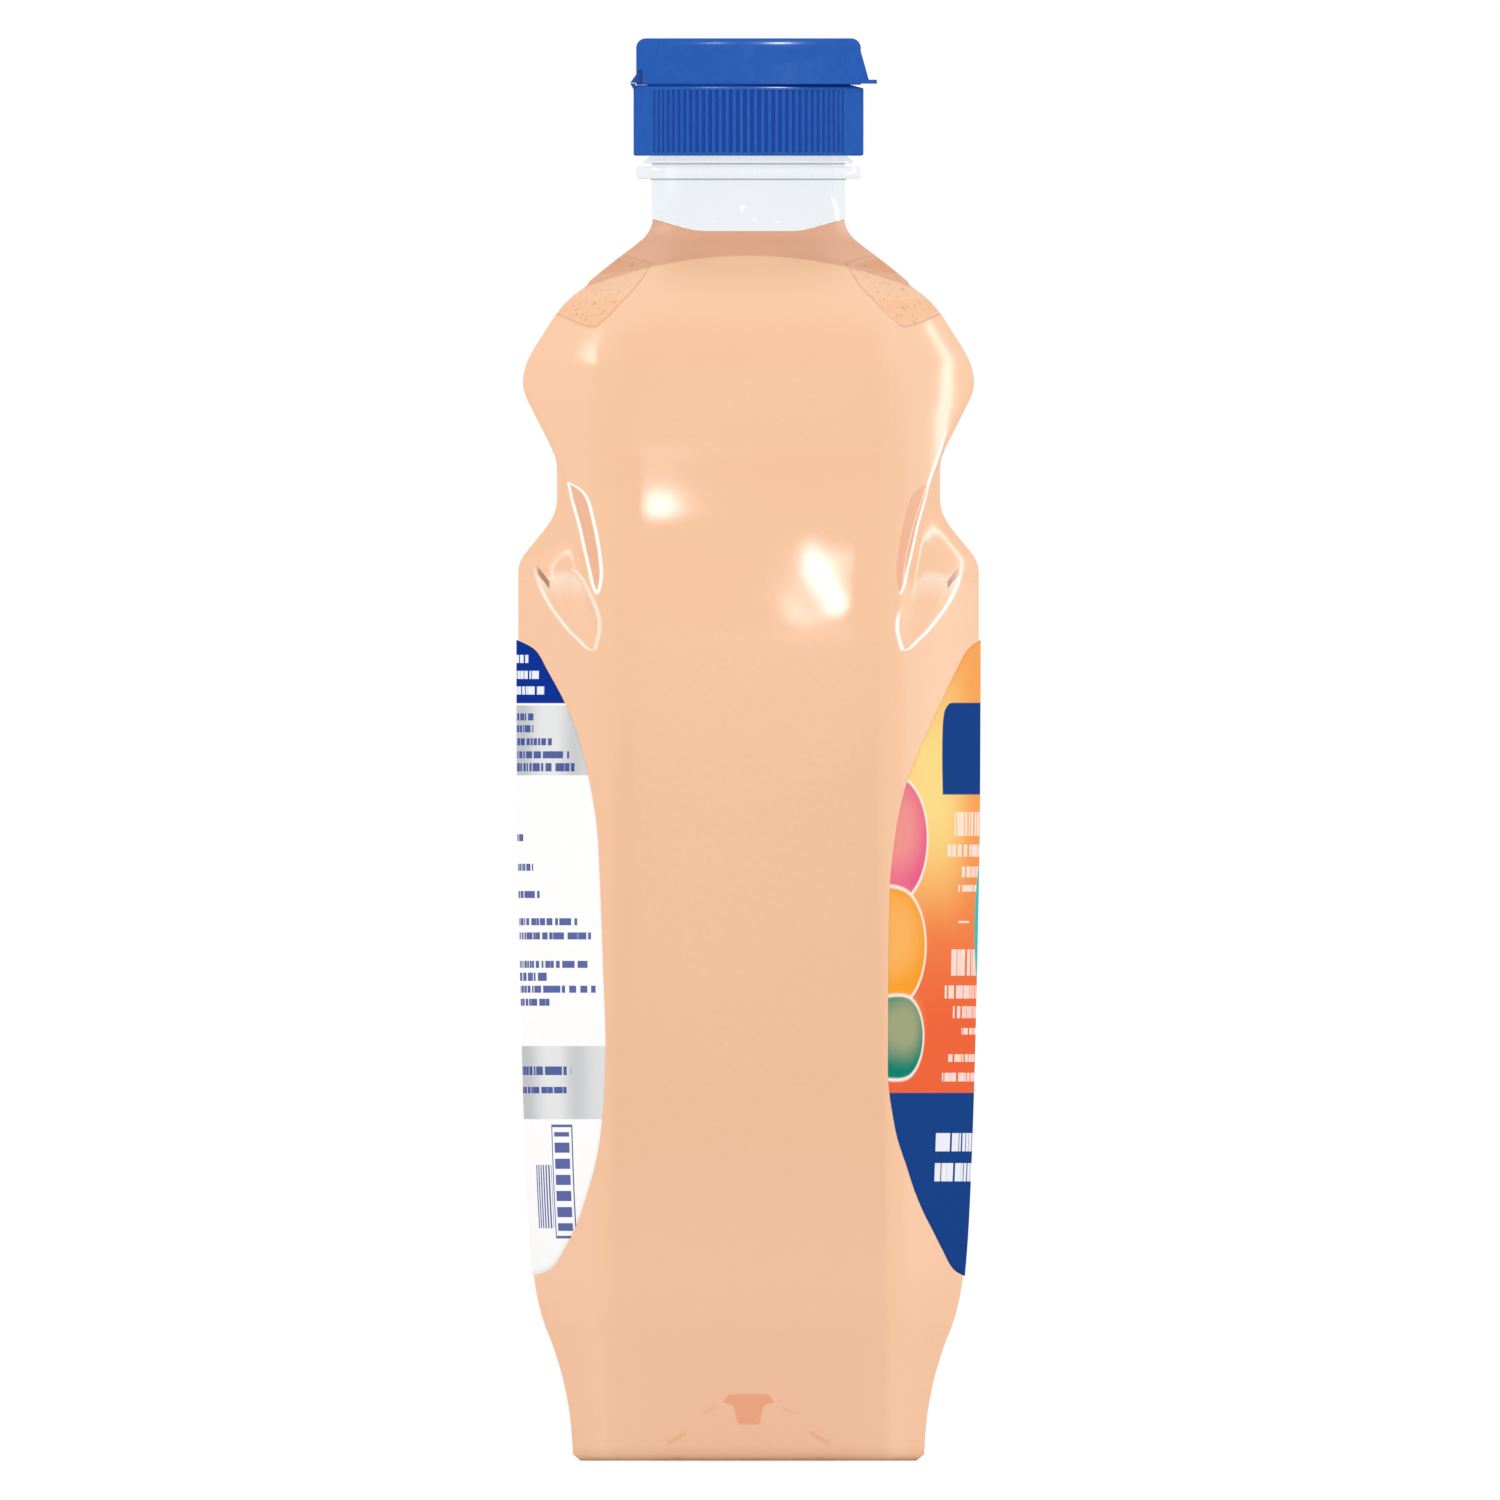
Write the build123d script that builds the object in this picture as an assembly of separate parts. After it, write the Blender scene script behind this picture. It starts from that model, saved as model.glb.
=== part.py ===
from build123d import *
import math
import os

# Hand soap refill bottle: a full bottle with a screw cap and a hinged lid, closed and upright.
# Millimetres. +Z is up and the origin is the middle of the foot. +X is the front, where the
# thumb tab of the lid points, and Y runs across the wide side.

# Bottle wall: depths run front to back, widths side to side
BODY_DEPTH = 86.2
BODY_WIDTH = 106.8
BELLY_DEPTH = 80.2
BELLY_WIDTH = 101.2
WAIST_WIDTH = 97.2
FOOT_DEPTH = 65.8
FOOT_WIDTH = 90.6
CROWN_DEPTH = 34.0
CROWN_WIDTH = 39.0
FLARE_HEIGHT = 34.0
BELLY_HEIGHT = 161.0
SHOULDER_HEIGHT = 31.0
SIDE_DEPTH = 52.0
CROWN_SIDE = 22.0
SIDE_BOW = 1.2
CORNER_ROUND = 12.0
FOOT_CORNER = 10.0
CROWN_CORNER = 8.0
FOOT_ROUND = 1.4
WALL = 0.8
CROWN_WALL = 1.6
COLLAR_WALL = 1.3

# Finger grips, one across the front and one across the back
GRIP_BELOW_SHOULDER = 13.3
GRIP_DEPTH = 7.2
GRIP_FLOOR = 10.7
GRIP_RISE = 13.9
GRIP_DROP = 8.8
GRIP_ROUND = 5.0

# Push-up under the foot
PUSH_DEPTH = 32.0
PUSH_WIDTH = 62.0
PUSH_HEIGHT = 12.5
NUB_RADIUS = 4.6
NUB_HEIGHT = 4.4
SPOKE_COUNT = 8
SPOKE_WIDTH = 1.4
SPOKE_HEIGHT = 0.7

# Neck and its rings
COLLAR_RADIUS = 30.0
COLLAR_SINK = 6.1
COLLAR_RISE = 8.9
COLLAR_SWELL = 0.3
NECK_RADIUS = 18.0
NECK_BORE = 31.8
NECK_BLEND = 6.0
NECK_STEM = 10.0
RING_RADIUS = 20.9
RING_THICKNESS = 2.3
BEAD_RADIUS = 19.6
BEAD_GAP = 0.6
BEAD_HEIGHT = 1.6
STEM_STEP = 0.5
THREAD_ROOT = 17.4
FINISH_HEIGHT = 12.5
RIM_ROUND = 0.5

# Soap, labels, seal and washer
SOAP_GAP = 0.15
FILL_ABOVE_COLLAR = 0.3
LABEL_GAP = 0.05
LABEL_FILM = 0.12
LABEL_LEVEL = 93.8
LABEL_HEIGHT = 118.4
LABEL_WIDTH = 101.6
LABEL_FULLNESS = 2.7
LABEL_POINTS = 40
FOIL_THICKNESS = 0.15
WASHER_THICKNESS = 1.0
WASHER_HOLE = 16.0
WASHER_CLEARANCE = 0.8

# Cap body
CAP_RADIUS = 21.4
SKIRT_WALL = 2.0
SKIRT_LIFT = 2.0
DECK_THICKNESS = 1.5
DECK_ROUND = 0.9
SKIRT_ROUND = 0.4
GROOVE_PITCH = 1.33
GROOVE_RADIUS = 0.42
GROOVE_DEPTH = 0.28
GROOVE_MARGIN = 0.6
PLAIN_ANGLE = 33.0
SPOUT_FOOT = 7.0
SPOUT_TIP = 6.0
SPOUT_HEIGHT = 5.2
SPOUT_BORE = 9.0
GUIDE_WALL = 1.0
GUIDE_HEIGHT = 1.8
GUIDE_CLEARANCE = 0.6
SCOOP_DEPTH = 0.6
SCOOP_REACH = 2.2
SCOOP_WIDTH = 16.0

# Flip lid and hinge
LID_RADIUS = 20.9
LID_HEIGHT = 8.65
LID_WALL = 1.4
LID_ROUND = 1.8
LID_SEAT = 0.05
PLUG_CLEARANCE = 0.2
PLUG_TAPER = 0.45
PLUG_ENTRY = 1.9
TAB_REACH = 3.0
TAB_THICKNESS = 0.75
TAB_GAP = 0.2
TAB_WIDTH = 19.0
LEAN_REACH = 1.7
LEAN_SINK = 1.1
LEAN_BELOW_TOP = 0.95
LEAN_INSIDE_TOP = 0.4
HINGE_REACH = 0.7
HINGE_ABOVE_DECK = 0.35
HINGE_WIDTH = 7.0
HINGE_GAP = 0.1
HINGE_UPPER = 2.4
HINGE_LOWER = 1.6
SLOT_WIDTH = 3.4
SLOT_DEPTH = 0.8

# How far a cutter runs past what it cuts
OVERCUT = 1.0

# Heights of the stack, worked out from the sizes above
SHOULDER_BASE = FLARE_HEIGHT + BELLY_HEIGHT
CROWN_TOP = SHOULDER_BASE + SHOULDER_HEIGHT
COLLAR_FOOT = CROWN_TOP - COLLAR_SINK
NECK_FOOT = COLLAR_FOOT + COLLAR_RISE
RING_BOTTOM = NECK_FOOT + NECK_STEM
RING_TOP = RING_BOTTOM + RING_THICKNESS
RIM_TOP = RING_TOP + FINISH_HEIGHT
FILL_LEVEL = NECK_FOOT + FILL_ABOVE_COLLAR
FOIL_TOP = RIM_TOP + FOIL_THICKNESS
WASHER_TOP = FOIL_TOP + WASHER_THICKNESS
DECK_TOP = WASHER_TOP + DECK_THICKNESS
SKIRT_BOTTOM = RING_TOP + SKIRT_LIFT
SPOUT_TOP = DECK_TOP + SPOUT_HEIGHT
LID_BOTTOM = DECK_TOP + LID_SEAT
LID_TOP = LID_BOTTOM + LID_HEIGHT
TAB_LEVEL = LID_BOTTOM + TAB_GAP
SKIRT_BORE = CAP_RADIUS - SKIRT_WALL
HINGE_LEVEL = DECK_TOP + HINGE_ABOVE_DECK
HINGE_X = CAP_RADIUS + HINGE_REACH

# Levels of the wall: share of the zone's height, then how far each size has gone to its next
FLARE = [(0.20, 0.07), (0.42, 0.25), (0.60, 0.49), (0.80, 0.82), (1.0, 1.0)]
BELLY = [(0.13, 0.43, 0.64, 0.0), (0.35, 0.77, 1.0, 0.0), (0.565, 0.97, 1.0, 0.08),
         (0.75, 1.0, 1.0, 0.56), (0.895, 1.0, 1.0, 1.0), (1.0, 0.93, 1.0, 0.9)]
SHOULDER = [(0.26, 0.035, 0.018), (0.506, 0.186, 0.137), (0.684, 0.341, 0.331),
            (0.845, 0.612, 0.595), (1.0, 1.0, 1.0)]

# Cuts across a finger grip: share of the half width, then how far its floor falls back and how
# far the lower and the upper edge of the floor droop
GRIP = [(0.0, 0.0, 0.0, 0.0), (0.31, 1.2, 0.5, 2.5), (0.58, 3.3, 4.7, 6.8),
        (0.78, 5.2, 15.4, 13.1), (0.95, 7.0, 24.5, 24.0), (1.07, 7.5, 30.0, 33.0)]

# Rings of the push-up: share of its height, then share of its size
PUSH_RINGS = [(0.0, 1.0), (0.35, 0.93), (0.7, 0.72), (0.92, 0.42), (1.0, 0.16)]


def mix(start, end, share):
    return start + (end - start) * share


def wall_levels(drop):
    """Height, depth, width, side depth and corner radius of each level, foot to crown."""
    edge = 2 * FOOT_ROUND
    levels = [(0.0, FOOT_DEPTH - edge, FOOT_WIDTH - edge, SIDE_DEPTH - edge, FOOT_CORNER - FOOT_ROUND),
              (FOOT_ROUND, FOOT_DEPTH, FOOT_WIDTH, SIDE_DEPTH, FOOT_CORNER)]
    for rise, swell in FLARE:
        levels.append((mix(FOOT_ROUND, FLARE_HEIGHT, rise), mix(FOOT_DEPTH, BELLY_DEPTH, swell),
                       mix(FOOT_WIDTH, BELLY_WIDTH, swell), SIDE_DEPTH,
                       mix(FOOT_CORNER, CORNER_ROUND, swell)))
    for rise, swell, spread, pinch in BELLY:
        width = mix(mix(BELLY_WIDTH, BODY_WIDTH, spread), WAIST_WIDTH, pinch)
        depth = mix(BELLY_DEPTH, BODY_DEPTH, swell)
        levels.append((mix(FLARE_HEIGHT, SHOULDER_BASE, rise), depth, width, SIDE_DEPTH, CORNER_ROUND))
    for rise, close, narrow in SHOULDER:
        levels.append((mix(SHOULDER_BASE, CROWN_TOP - drop, rise), mix(depth, CROWN_DEPTH, close),
                       mix(width, CROWN_WIDTH, narrow), mix(SIDE_DEPTH, CROWN_SIDE, close),
                       mix(CORNER_ROUND, CROWN_CORNER, close)))
    return levels


def wall_section(level, depth, width, side, corner, inset):
    """One level of the wall: bowed sides, crowned front and back, rounded corners."""
    x, y, e = depth / 2, width / 2, side / 2
    edge = y - SIDE_BOW
    outline = [ThreePointArc((-e, edge), (0, y), (e, edge)),
               ThreePointArc((e, edge), (x, 0), (e, -edge)),
               ThreePointArc((e, -edge), (0, -y), (-e, -edge)),
               ThreePointArc((-e, -edge), (-x, 0), (-e, edge))]
    face = make_face(Curve() + outline)
    face = fillet(face.vertices(), corner)
    if inset:
        face = offset(face, amount=-inset)
    return Pos(0, 0, level) * face


def wall_form(inset=0.0, drop=0.0):
    """The blown form of the wall, drawn in by an inset, with its crown lowered by a drop."""
    sections = []
    for level, depth, width, side, corner in wall_levels(drop):
        sections.append(wall_section(level, depth, width, side, corner, inset))
    return loft(sections)


def collar_arc(foot_radius, top_radius, drop):
    """The swelling edge of the collar, from its hidden foot up to the neck."""
    foot = Vector(foot_radius, COLLAR_FOOT - drop)
    top = Vector(top_radius, NECK_FOOT)
    along = (top - foot).normalized()
    outward = Vector(along.Y, -along.X)
    return ThreePointArc(foot, (foot + top) / 2 + outward * COLLAR_SWELL, top)


def turned(outline):
    """A solid turned about the bottle's axis from an outline of radius and height."""
    return revolve(Plane.XZ * make_face(outline), Axis.Z, 360)


def neck_form():
    """Collar, neck, carrying ring, bead and rim, solid throughout."""
    arc = collar_arc(COLLAR_RADIUS, NECK_RADIUS, 0.0)
    floor = COLLAR_FOOT - COLLAR_SINK
    stem = THREAD_ROOT + STEM_STEP
    bead = RING_TOP + BEAD_GAP
    outline = Curve() + [Polyline((0, floor), (COLLAR_RADIUS, floor), arc @ 0), arc,
                         Polyline(arc @ 1, (NECK_RADIUS, RING_BOTTOM), (RING_RADIUS, RING_BOTTOM),
                                  (RING_RADIUS, RING_TOP), (stem, RING_TOP), (stem, bead),
                                  (BEAD_RADIUS, bead), (stem, bead + BEAD_HEIGHT),
                                  (THREAD_ROOT, bead + BEAD_HEIGHT), (THREAD_ROOT, RIM_TOP),
                                  (0, RIM_TOP), (0, floor))]
    face = make_face(outline)
    face = fillet(face.vertices().sort_by_distance((NECK_RADIUS, NECK_FOOT))[0], NECK_BLEND)
    face = fillet(face.vertices().sort_by_distance((THREAD_ROOT, RIM_TOP))[0], RIM_ROUND)
    return revolve(Plane.XZ * face, Axis.Z, 360)


def bore_form(gap, top):
    """The space inside the collar and neck, drawn in by a gap and cut off at a height."""
    foot = COLLAR_RADIUS - WALL - gap
    arc = collar_arc(foot, NECK_BORE / 2 - gap, COLLAR_WALL + gap)
    floor = COLLAR_FOOT - COLLAR_SINK
    outline = Curve() + [Polyline((0, floor), (foot, floor), arc @ 0), arc,
                         Polyline(arc @ 1, (NECK_BORE / 2 - gap, top), (0, top), (0, floor))]
    return turned(outline)


def grip_section(reach, fall, low_droop, high_droop, grow):
    """The notch of a finger grip, cut across at one distance from the middle."""
    floor = BODY_DEPTH / 2 - GRIP_DEPTH - fall
    middle = SHOULDER_BASE - GRIP_BELOW_SHOULDER
    low = middle - GRIP_FLOOR / 2 - low_droop
    high = middle + GRIP_FLOOR / 2 - high_droop
    outer = floor + 2 * GRIP_DEPTH
    face = make_face(Polyline((floor, low), (floor, high), (outer, high + 2 * GRIP_RISE),
                              (outer, low - 2 * GRIP_DROP), close=True))
    face = fillet(face.vertices().sort_by_distance((floor, low))[0], GRIP_ROUND)
    if grow:
        face = offset(face, amount=grow, kind=Kind.INTERSECTION)
    return Pos(0, reach, 0) * (Plane.XZ * face)


def grip_cutter(grow):
    """The notch of the front finger grip: it bends down towards the corners and fades out there."""
    half = [(share * WAIST_WIDTH / 2, *row) for share, *row in GRIP]
    rows = [(-reach, *row) for reach, *row in reversed(half[1:])] + half
    return loft([grip_section(*row, grow) for row in rows])


def cut_grips(solid, grow):
    front = grip_cutter(grow)
    return solid - front - mirror(front, Plane.YZ)


def push_up(grow):
    """The dome that is pushed up into the foot, grown by a wall."""
    depth = PUSH_DEPTH / 2 + grow
    width = PUSH_WIDTH / 2 + grow
    height = PUSH_HEIGHT + grow
    sections = [Pos(0, 0, height * rise) * Ellipse(depth * size, width * size) for rise, size in PUSH_RINGS]
    return loft(sections)


def push_up_spokes():
    """Ridges that run out from the middle of the push-up, and the nub where the blank was gripped."""
    bars = [Rot(0, 0, 360 / SPOKE_COUNT * i) * Box(PUSH_WIDTH, SPOKE_WIDTH, 2 * PUSH_HEIGHT)
            for i in range(SPOKE_COUNT // 2)]
    ridges = (push_up(0.0) - push_up(-SPOKE_HEIGHT)) & (Part() + bars)
    nub = Pos(0, 0, PUSH_HEIGHT - NUB_HEIGHT / 2) * Cone(NUB_RADIUS / 2, NUB_RADIUS, NUB_HEIGHT)
    return ridges + (nub & push_up(0.0))


def cavity(gap, top):
    """The space inside the bottle, drawn in by a gap and cut off at a height."""
    inset = WALL + gap
    space = cut_grips(wall_form(inset, CROWN_WALL + gap), inset) + bore_form(gap, top)
    slab = Pos(0, 0, inset / 2) * Box(2 * BODY_DEPTH, 2 * BODY_WIDTH, inset)
    return space - push_up(inset) - slab


def bottle():
    """The blown bottle with its neck: one moulding, open at the rim."""
    outer = cut_grips(wall_form(), 0.0) + neck_form() - push_up(0.0)
    return outer + push_up_spokes() - cavity(0.0, RIM_TOP)


def soap_fill():
    """The soap, filled to just above the collar."""
    return cavity(SOAP_GAP, FILL_LEVEL)


def label_film():
    """The skin that both labels are cut from, a hair off the wall."""
    return wall_form(-LABEL_GAP - LABEL_FILM) - wall_form(-LABEL_GAP)


def full_oval(width, height, fullness):
    """An oval with fuller corners than an ellipse, which has a fullness of 2."""
    points = []
    for i in range(LABEL_POINTS):
        across = math.cos(2 * math.pi * i / LABEL_POINTS)
        up = math.sin(2 * math.pi * i / LABEL_POINTS)
        points.append((math.copysign(abs(across) ** (2 / fullness) * width / 2, across),
                       math.copysign(abs(up) ** (2 / fullness) * height / 2, up)))
    return make_face(Spline(*points, periodic=True))


def label(film, side):
    """One oval label, cut from the film on the front (1) or the back (-1)."""
    oval = Plane.YZ * Pos(0, LABEL_LEVEL) * full_oval(LABEL_WIDTH, LABEL_HEIGHT, LABEL_FULLNESS)
    return film & extrude(oval, side * BODY_DEPTH)


def foil_seal():
    """The foil welded to the rim."""
    return Pos(0, 0, RIM_TOP + FOIL_THICKNESS / 2) * Cylinder(NECK_RADIUS, FOIL_THICKNESS)


def liner_washer():
    """The foam ring that seals under the cap's deck, open below the spout."""
    disc = Cylinder(SKIRT_BORE - WASHER_CLEARANCE, WASHER_THICKNESS)
    disc = disc - Cylinder(WASHER_HOLE / 2, 2 * WASHER_THICKNESS)
    return Pos(0, 0, FOIL_TOP + WASHER_THICKNESS / 2) * disc


def groove_angles():
    """Where the upright grooves stand, on both sides but not near the hinge or the thumb tab."""
    step = GROOVE_PITCH / CAP_RADIUS
    spread = math.pi - 2 * math.radians(PLAIN_ANGLE)
    count = int(spread / step)
    half = [math.pi / 2 + (i - (count - 1) / 2) * step for i in range(count)]
    return half + [angle + math.pi for angle in half]


def skirt():
    """The cap's skirt and deck before its spout, a cup turned upside down."""
    outline = Polyline((SKIRT_BORE, SKIRT_BOTTOM), (CAP_RADIUS, SKIRT_BOTTOM), (CAP_RADIUS, DECK_TOP),
                       (0, DECK_TOP), (0, WASHER_TOP), (SKIRT_BORE, WASHER_TOP), close=True)
    face = make_face(outline)
    face = fillet(face.vertices().sort_by_distance((CAP_RADIUS, DECK_TOP))[0], DECK_ROUND)
    face = fillet(face.vertices().sort_by_distance((CAP_RADIUS, SKIRT_BOTTOM))[0], SKIRT_ROUND)
    return revolve(Plane.XZ * face, Axis.Z, 360)


def skirt_grooves():
    """The cutters of the upright grooves."""
    low = SKIRT_BOTTOM + GROOVE_MARGIN
    length = DECK_TOP - DECK_ROUND - low
    centre = CAP_RADIUS + GROOVE_RADIUS - GROOVE_DEPTH
    cutter = Cylinder(GROOVE_RADIUS, length)
    return [Pos(centre * math.cos(angle), centre * math.sin(angle), low + length / 2) * cutter
            for angle in groove_angles()]


def spout():
    """The short tapered spout and the ring that guides the closed lid, on the deck."""
    post = Pos(0, 0, DECK_TOP + SPOUT_HEIGHT / 2) * Cone(SPOUT_FOOT, SPOUT_TIP, SPOUT_HEIGHT)
    guide = LID_RADIUS - LID_WALL - GUIDE_CLEARANCE
    ring = Cylinder(guide, GUIDE_HEIGHT) - Cylinder(guide - GUIDE_WALL, GUIDE_HEIGHT)
    return [post, Pos(0, 0, DECK_TOP + GUIDE_HEIGHT / 2) * ring]


def hinge_wedge(low, high, inner):
    """A hinge lug: a wedge that stands out from the wall to the hinge line, level at one end."""
    tip = HINGE_X - HINGE_GAP / 2
    outline = Polyline((-inner, low), (-tip, low), (-inner - HINGE_GAP, high), (-inner, high), close=True)
    return extrude(Plane.XZ * make_face(outline), HINGE_WIDTH / 2, both=True)


def thumb_scoop():
    """The slope cut into the deck's edge under the thumb tab."""
    high = DECK_TOP + SCOOP_DEPTH
    outline = Polyline((CAP_RADIUS - SCOOP_REACH, DECK_TOP), (CAP_RADIUS, DECK_TOP - SCOOP_DEPTH),
                       (CAP_RADIUS + SCOOP_REACH, DECK_TOP - SCOOP_DEPTH),
                       (CAP_RADIUS + SCOOP_REACH, high), (CAP_RADIUS - SCOOP_REACH, high), close=True)
    return extrude(Plane.XZ * make_face(outline), SCOOP_WIDTH / 2, both=True)


def cap_body():
    """Grooved skirt, deck, spout, lid guide and the lower half of the hinge."""
    low = HINGE_LEVEL - HINGE_GAP / 2
    lug = hinge_wedge(low, low - HINGE_LOWER, LID_RADIUS + HINGE_GAP)
    body = skirt() - skirt_grooves() + spout() + lug - thumb_scoop()
    bore = Pos(0, 0, SPOUT_TOP) * Cylinder(SPOUT_BORE / 2, 2 * (SPOUT_TOP - WASHER_TOP + OVERCUT))
    return body - bore


def lid_block():
    """The lid's round outside, rounded over at the top."""
    height = LID_TOP - LID_BOTTOM
    block = Pos(0, 0, LID_BOTTOM + height / 2) * Cylinder(LID_RADIUS, height)
    return fillet(block.edges().group_by(Axis.Z)[-1], LID_ROUND)


def lid_lean():
    """The lean of the lid's wall: it comes out towards the front, most at its lower edge."""
    back = LID_RADIUS - LEAN_SINK
    foot = LID_RADIUS + LEAN_REACH
    top = LID_RADIUS - LEAN_INSIDE_TOP
    return loft([Pos((foot - back) / 2, 0, TAB_LEVEL) * Circle((foot + back) / 2),
                 Pos((top - back) / 2, 0, LID_TOP - LEAN_BELOW_TOP) * Circle((top + back) / 2)])


def thumb_tab():
    """The thin tab at the foot of the lid's front, rounded in plan."""
    centre = LID_RADIUS + TAB_REACH - TAB_WIDTH / 2
    return Pos(centre, 0, TAB_LEVEL + TAB_THICKNESS / 2) * Cylinder(TAB_WIDTH / 2, TAB_THICKNESS)


def lid_hollow():
    """The space inside the lid."""
    height = LID_TOP - LID_WALL - LID_BOTTOM + OVERCUT
    return Pos(0, 0, LID_TOP - LID_WALL - height / 2) * Cylinder(LID_RADIUS - LID_WALL, height)


def lid_plug():
    """The tapered plug that closes the spout."""
    radius = SPOUT_BORE / 2 - PLUG_CLEARANCE
    tip = Pos(0, 0, SPOUT_TOP - PLUG_ENTRY / 2) * Cone(radius - PLUG_TAPER, radius, PLUG_ENTRY)
    stem = LID_TOP - LID_WALL / 2 - SPOUT_TOP
    return tip + Pos(0, 0, SPOUT_TOP + stem / 2) * Cylinder(radius, stem)


def hinge_slots():
    """The narrow recesses in the lid's wall on both sides of the hinge."""
    place = HINGE_WIDTH / 2 + SLOT_WIDTH / 2
    height = HINGE_LEVEL + HINGE_UPPER - LID_BOTTOM
    cutter = Box(2 * SLOT_DEPTH, SLOT_WIDTH, 2 * height)
    depth = math.sqrt(LID_RADIUS ** 2 - place ** 2)
    return [Pos(-depth, side * place, LID_BOTTOM) * cutter for side in (-1, 1)]


def flip_lid():
    """Lid cup with its lean and thumb tab, its plug and the upper half of the hinge."""
    low = HINGE_LEVEL + HINGE_GAP / 2
    lug = hinge_wedge(low, low + HINGE_UPPER, LID_RADIUS - LID_WALL / 2)
    cup = lid_block() + lid_lean() + thumb_tab() - lid_hollow() - hinge_slots()
    return cup + lid_plug() + lug


def main():
    film = label_film()
    nodes = {
        "bottle": bottle(),
        "soap_fill": soap_fill(),
        "front_label": label(film, 1),
        "back_label": label(film, -1),
        "foil_seal": foil_seal(),
        "liner_washer": liner_washer(),
        "cap_body": cap_body(),
        "flip_lid": flip_lid(),
    }
    os.makedirs("parts", exist_ok=True)
    for name, solid in nodes.items():
        export_step(solid, f"parts/{name}.step")


main()
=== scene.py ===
import bpy
import math
import numpy as np
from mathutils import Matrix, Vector


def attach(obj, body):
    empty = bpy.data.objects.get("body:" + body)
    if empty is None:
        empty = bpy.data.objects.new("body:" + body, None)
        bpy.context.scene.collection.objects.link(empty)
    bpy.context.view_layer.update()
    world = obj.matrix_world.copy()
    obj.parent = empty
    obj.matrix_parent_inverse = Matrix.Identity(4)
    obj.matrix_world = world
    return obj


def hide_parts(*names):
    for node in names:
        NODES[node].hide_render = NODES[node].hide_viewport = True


# The looks of a full hand soap refill bottle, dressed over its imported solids. The forms below
# are worked out in millimetres, in the frame of the solids, and made into meshes in metres.
MM = 0.001

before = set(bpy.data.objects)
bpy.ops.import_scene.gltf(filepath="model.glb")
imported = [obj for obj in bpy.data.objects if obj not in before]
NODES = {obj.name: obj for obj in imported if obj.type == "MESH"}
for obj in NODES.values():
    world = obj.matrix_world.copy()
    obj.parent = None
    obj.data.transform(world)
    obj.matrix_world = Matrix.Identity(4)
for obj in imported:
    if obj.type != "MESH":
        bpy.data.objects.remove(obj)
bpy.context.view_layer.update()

# Bottle wall, as in the solids, but with a thinner wall: depths run front to back, widths side to side
BODY_DEPTH, BODY_WIDTH = 86.2, 106.8
BELLY_DEPTH, BELLY_WIDTH = 80.2, 101.2
WAIST_WIDTH = 97.2
FOOT_DEPTH, FOOT_WIDTH = 65.8, 90.6
CROWN_DEPTH, CROWN_WIDTH, CROWN_SIDE = 34.0, 39.0, 22.0
FLARE_HEIGHT, BELLY_HEIGHT, SHOULDER_HEIGHT = 34.0, 161.0, 31.0
SIDE_DEPTH, SIDE_BOW = 52.0, 1.2
CORNER_ROUND, FOOT_CORNER, CROWN_CORNER, FOOT_ROUND = 12.0, 10.0, 8.0, 1.4
WALL, CROWN_WALL, COLLAR_WALL = 0.2, 0.3, 0.3
FLARE = [(0.20, 0.07), (0.42, 0.25), (0.60, 0.49), (0.80, 0.82), (1.0, 1.0)]
BELLY = [(0.13, 0.43, 0.64, 0.0), (0.35, 0.77, 1.0, 0.0), (0.565, 0.97, 1.0, 0.08),
         (0.75, 1.0, 1.0, 0.56), (0.895, 1.0, 1.0, 1.0), (1.0, 0.93, 1.0, 0.9)]
SHOULDER = [(0.26, 0.035, 0.018), (0.506, 0.186, 0.137), (0.684, 0.341, 0.331),
            (0.845, 0.612, 0.595), (1.0, 1.0, 1.0)]

# Finger grips
GRIP_BELOW_SHOULDER, GRIP_DEPTH, GRIP_FLOOR = 13.3, 7.2, 10.7
GRIP_RISE, GRIP_DROP = 13.9, 8.8
GRIP = [(0.0, 0.0, 0.0, 0.0), (0.31, 1.2, 0.5, 2.5), (0.58, 3.3, 4.7, 6.8),
        (0.78, 5.2, 15.4, 13.1), (0.95, 7.0, 24.5, 24.0), (1.07, 7.5, 30.0, 33.0)]
GRIP_BLEND, GRIP_HEAD_ROUND, GRIP_FOOT_ROUND, GRIP_GROWTH = 1.4, 1.4, 2.4, 1.1

# Push-up, collar, neck and rings
PUSH_DEPTH, PUSH_WIDTH, PUSH_HEIGHT = 32.0, 62.0, 12.5
PUSH_RINGS = [(0.0, 1.0), (0.35, 0.93), (0.7, 0.72), (0.92, 0.42), (1.0, 0.16)]
NUB_RADIUS, NUB_HEIGHT = 4.6, 4.4
SPOKE_COUNT, SPOKE_WIDTH, SPOKE_HEIGHT = 8, 1.4, 0.7
COLLAR_RADIUS, COLLAR_SWELL, COLLAR_SPREAD = 30.0, 0.3, 0.2
COLLAR_FOOT, NECK_FOOT = 219.9, 228.8
COLLAR_BLEND = 0.8
NECK_RADIUS, NECK_BORE = 18.0, 15.9
NECK_ROOT, NECK_START = NECK_FOOT - 2.2, NECK_FOOT + 4.0
RING_BOTTOM, RING_TOP, RING_RADIUS = 238.8, 241.1, 20.9
STEM_RADIUS, BEAD_RADIUS, BEAD_BOTTOM, BEAD_TOP = 17.9, 19.6, 241.7, 243.3
THREAD_ROOT, THREAD_CREST, THREAD_PITCH = 17.4, 18.75, 4.2333
RIM_TOP = 253.6
THREAD_START, THREAD_END = BEAD_TOP + 2.0, RIM_TOP - 1.6
PANEL_DEPTH = 0.35

# Slight twist of the flat sides: its strength, its distance out to the front and back, its height, its
# size, and how far out to the side it starts
TWIST, TWIST_REACH, TWIST_LEVEL, TWIST_SIZE, TWIST_START = 0.003, 14.0, 164.0, 11.0, 40.0

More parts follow.
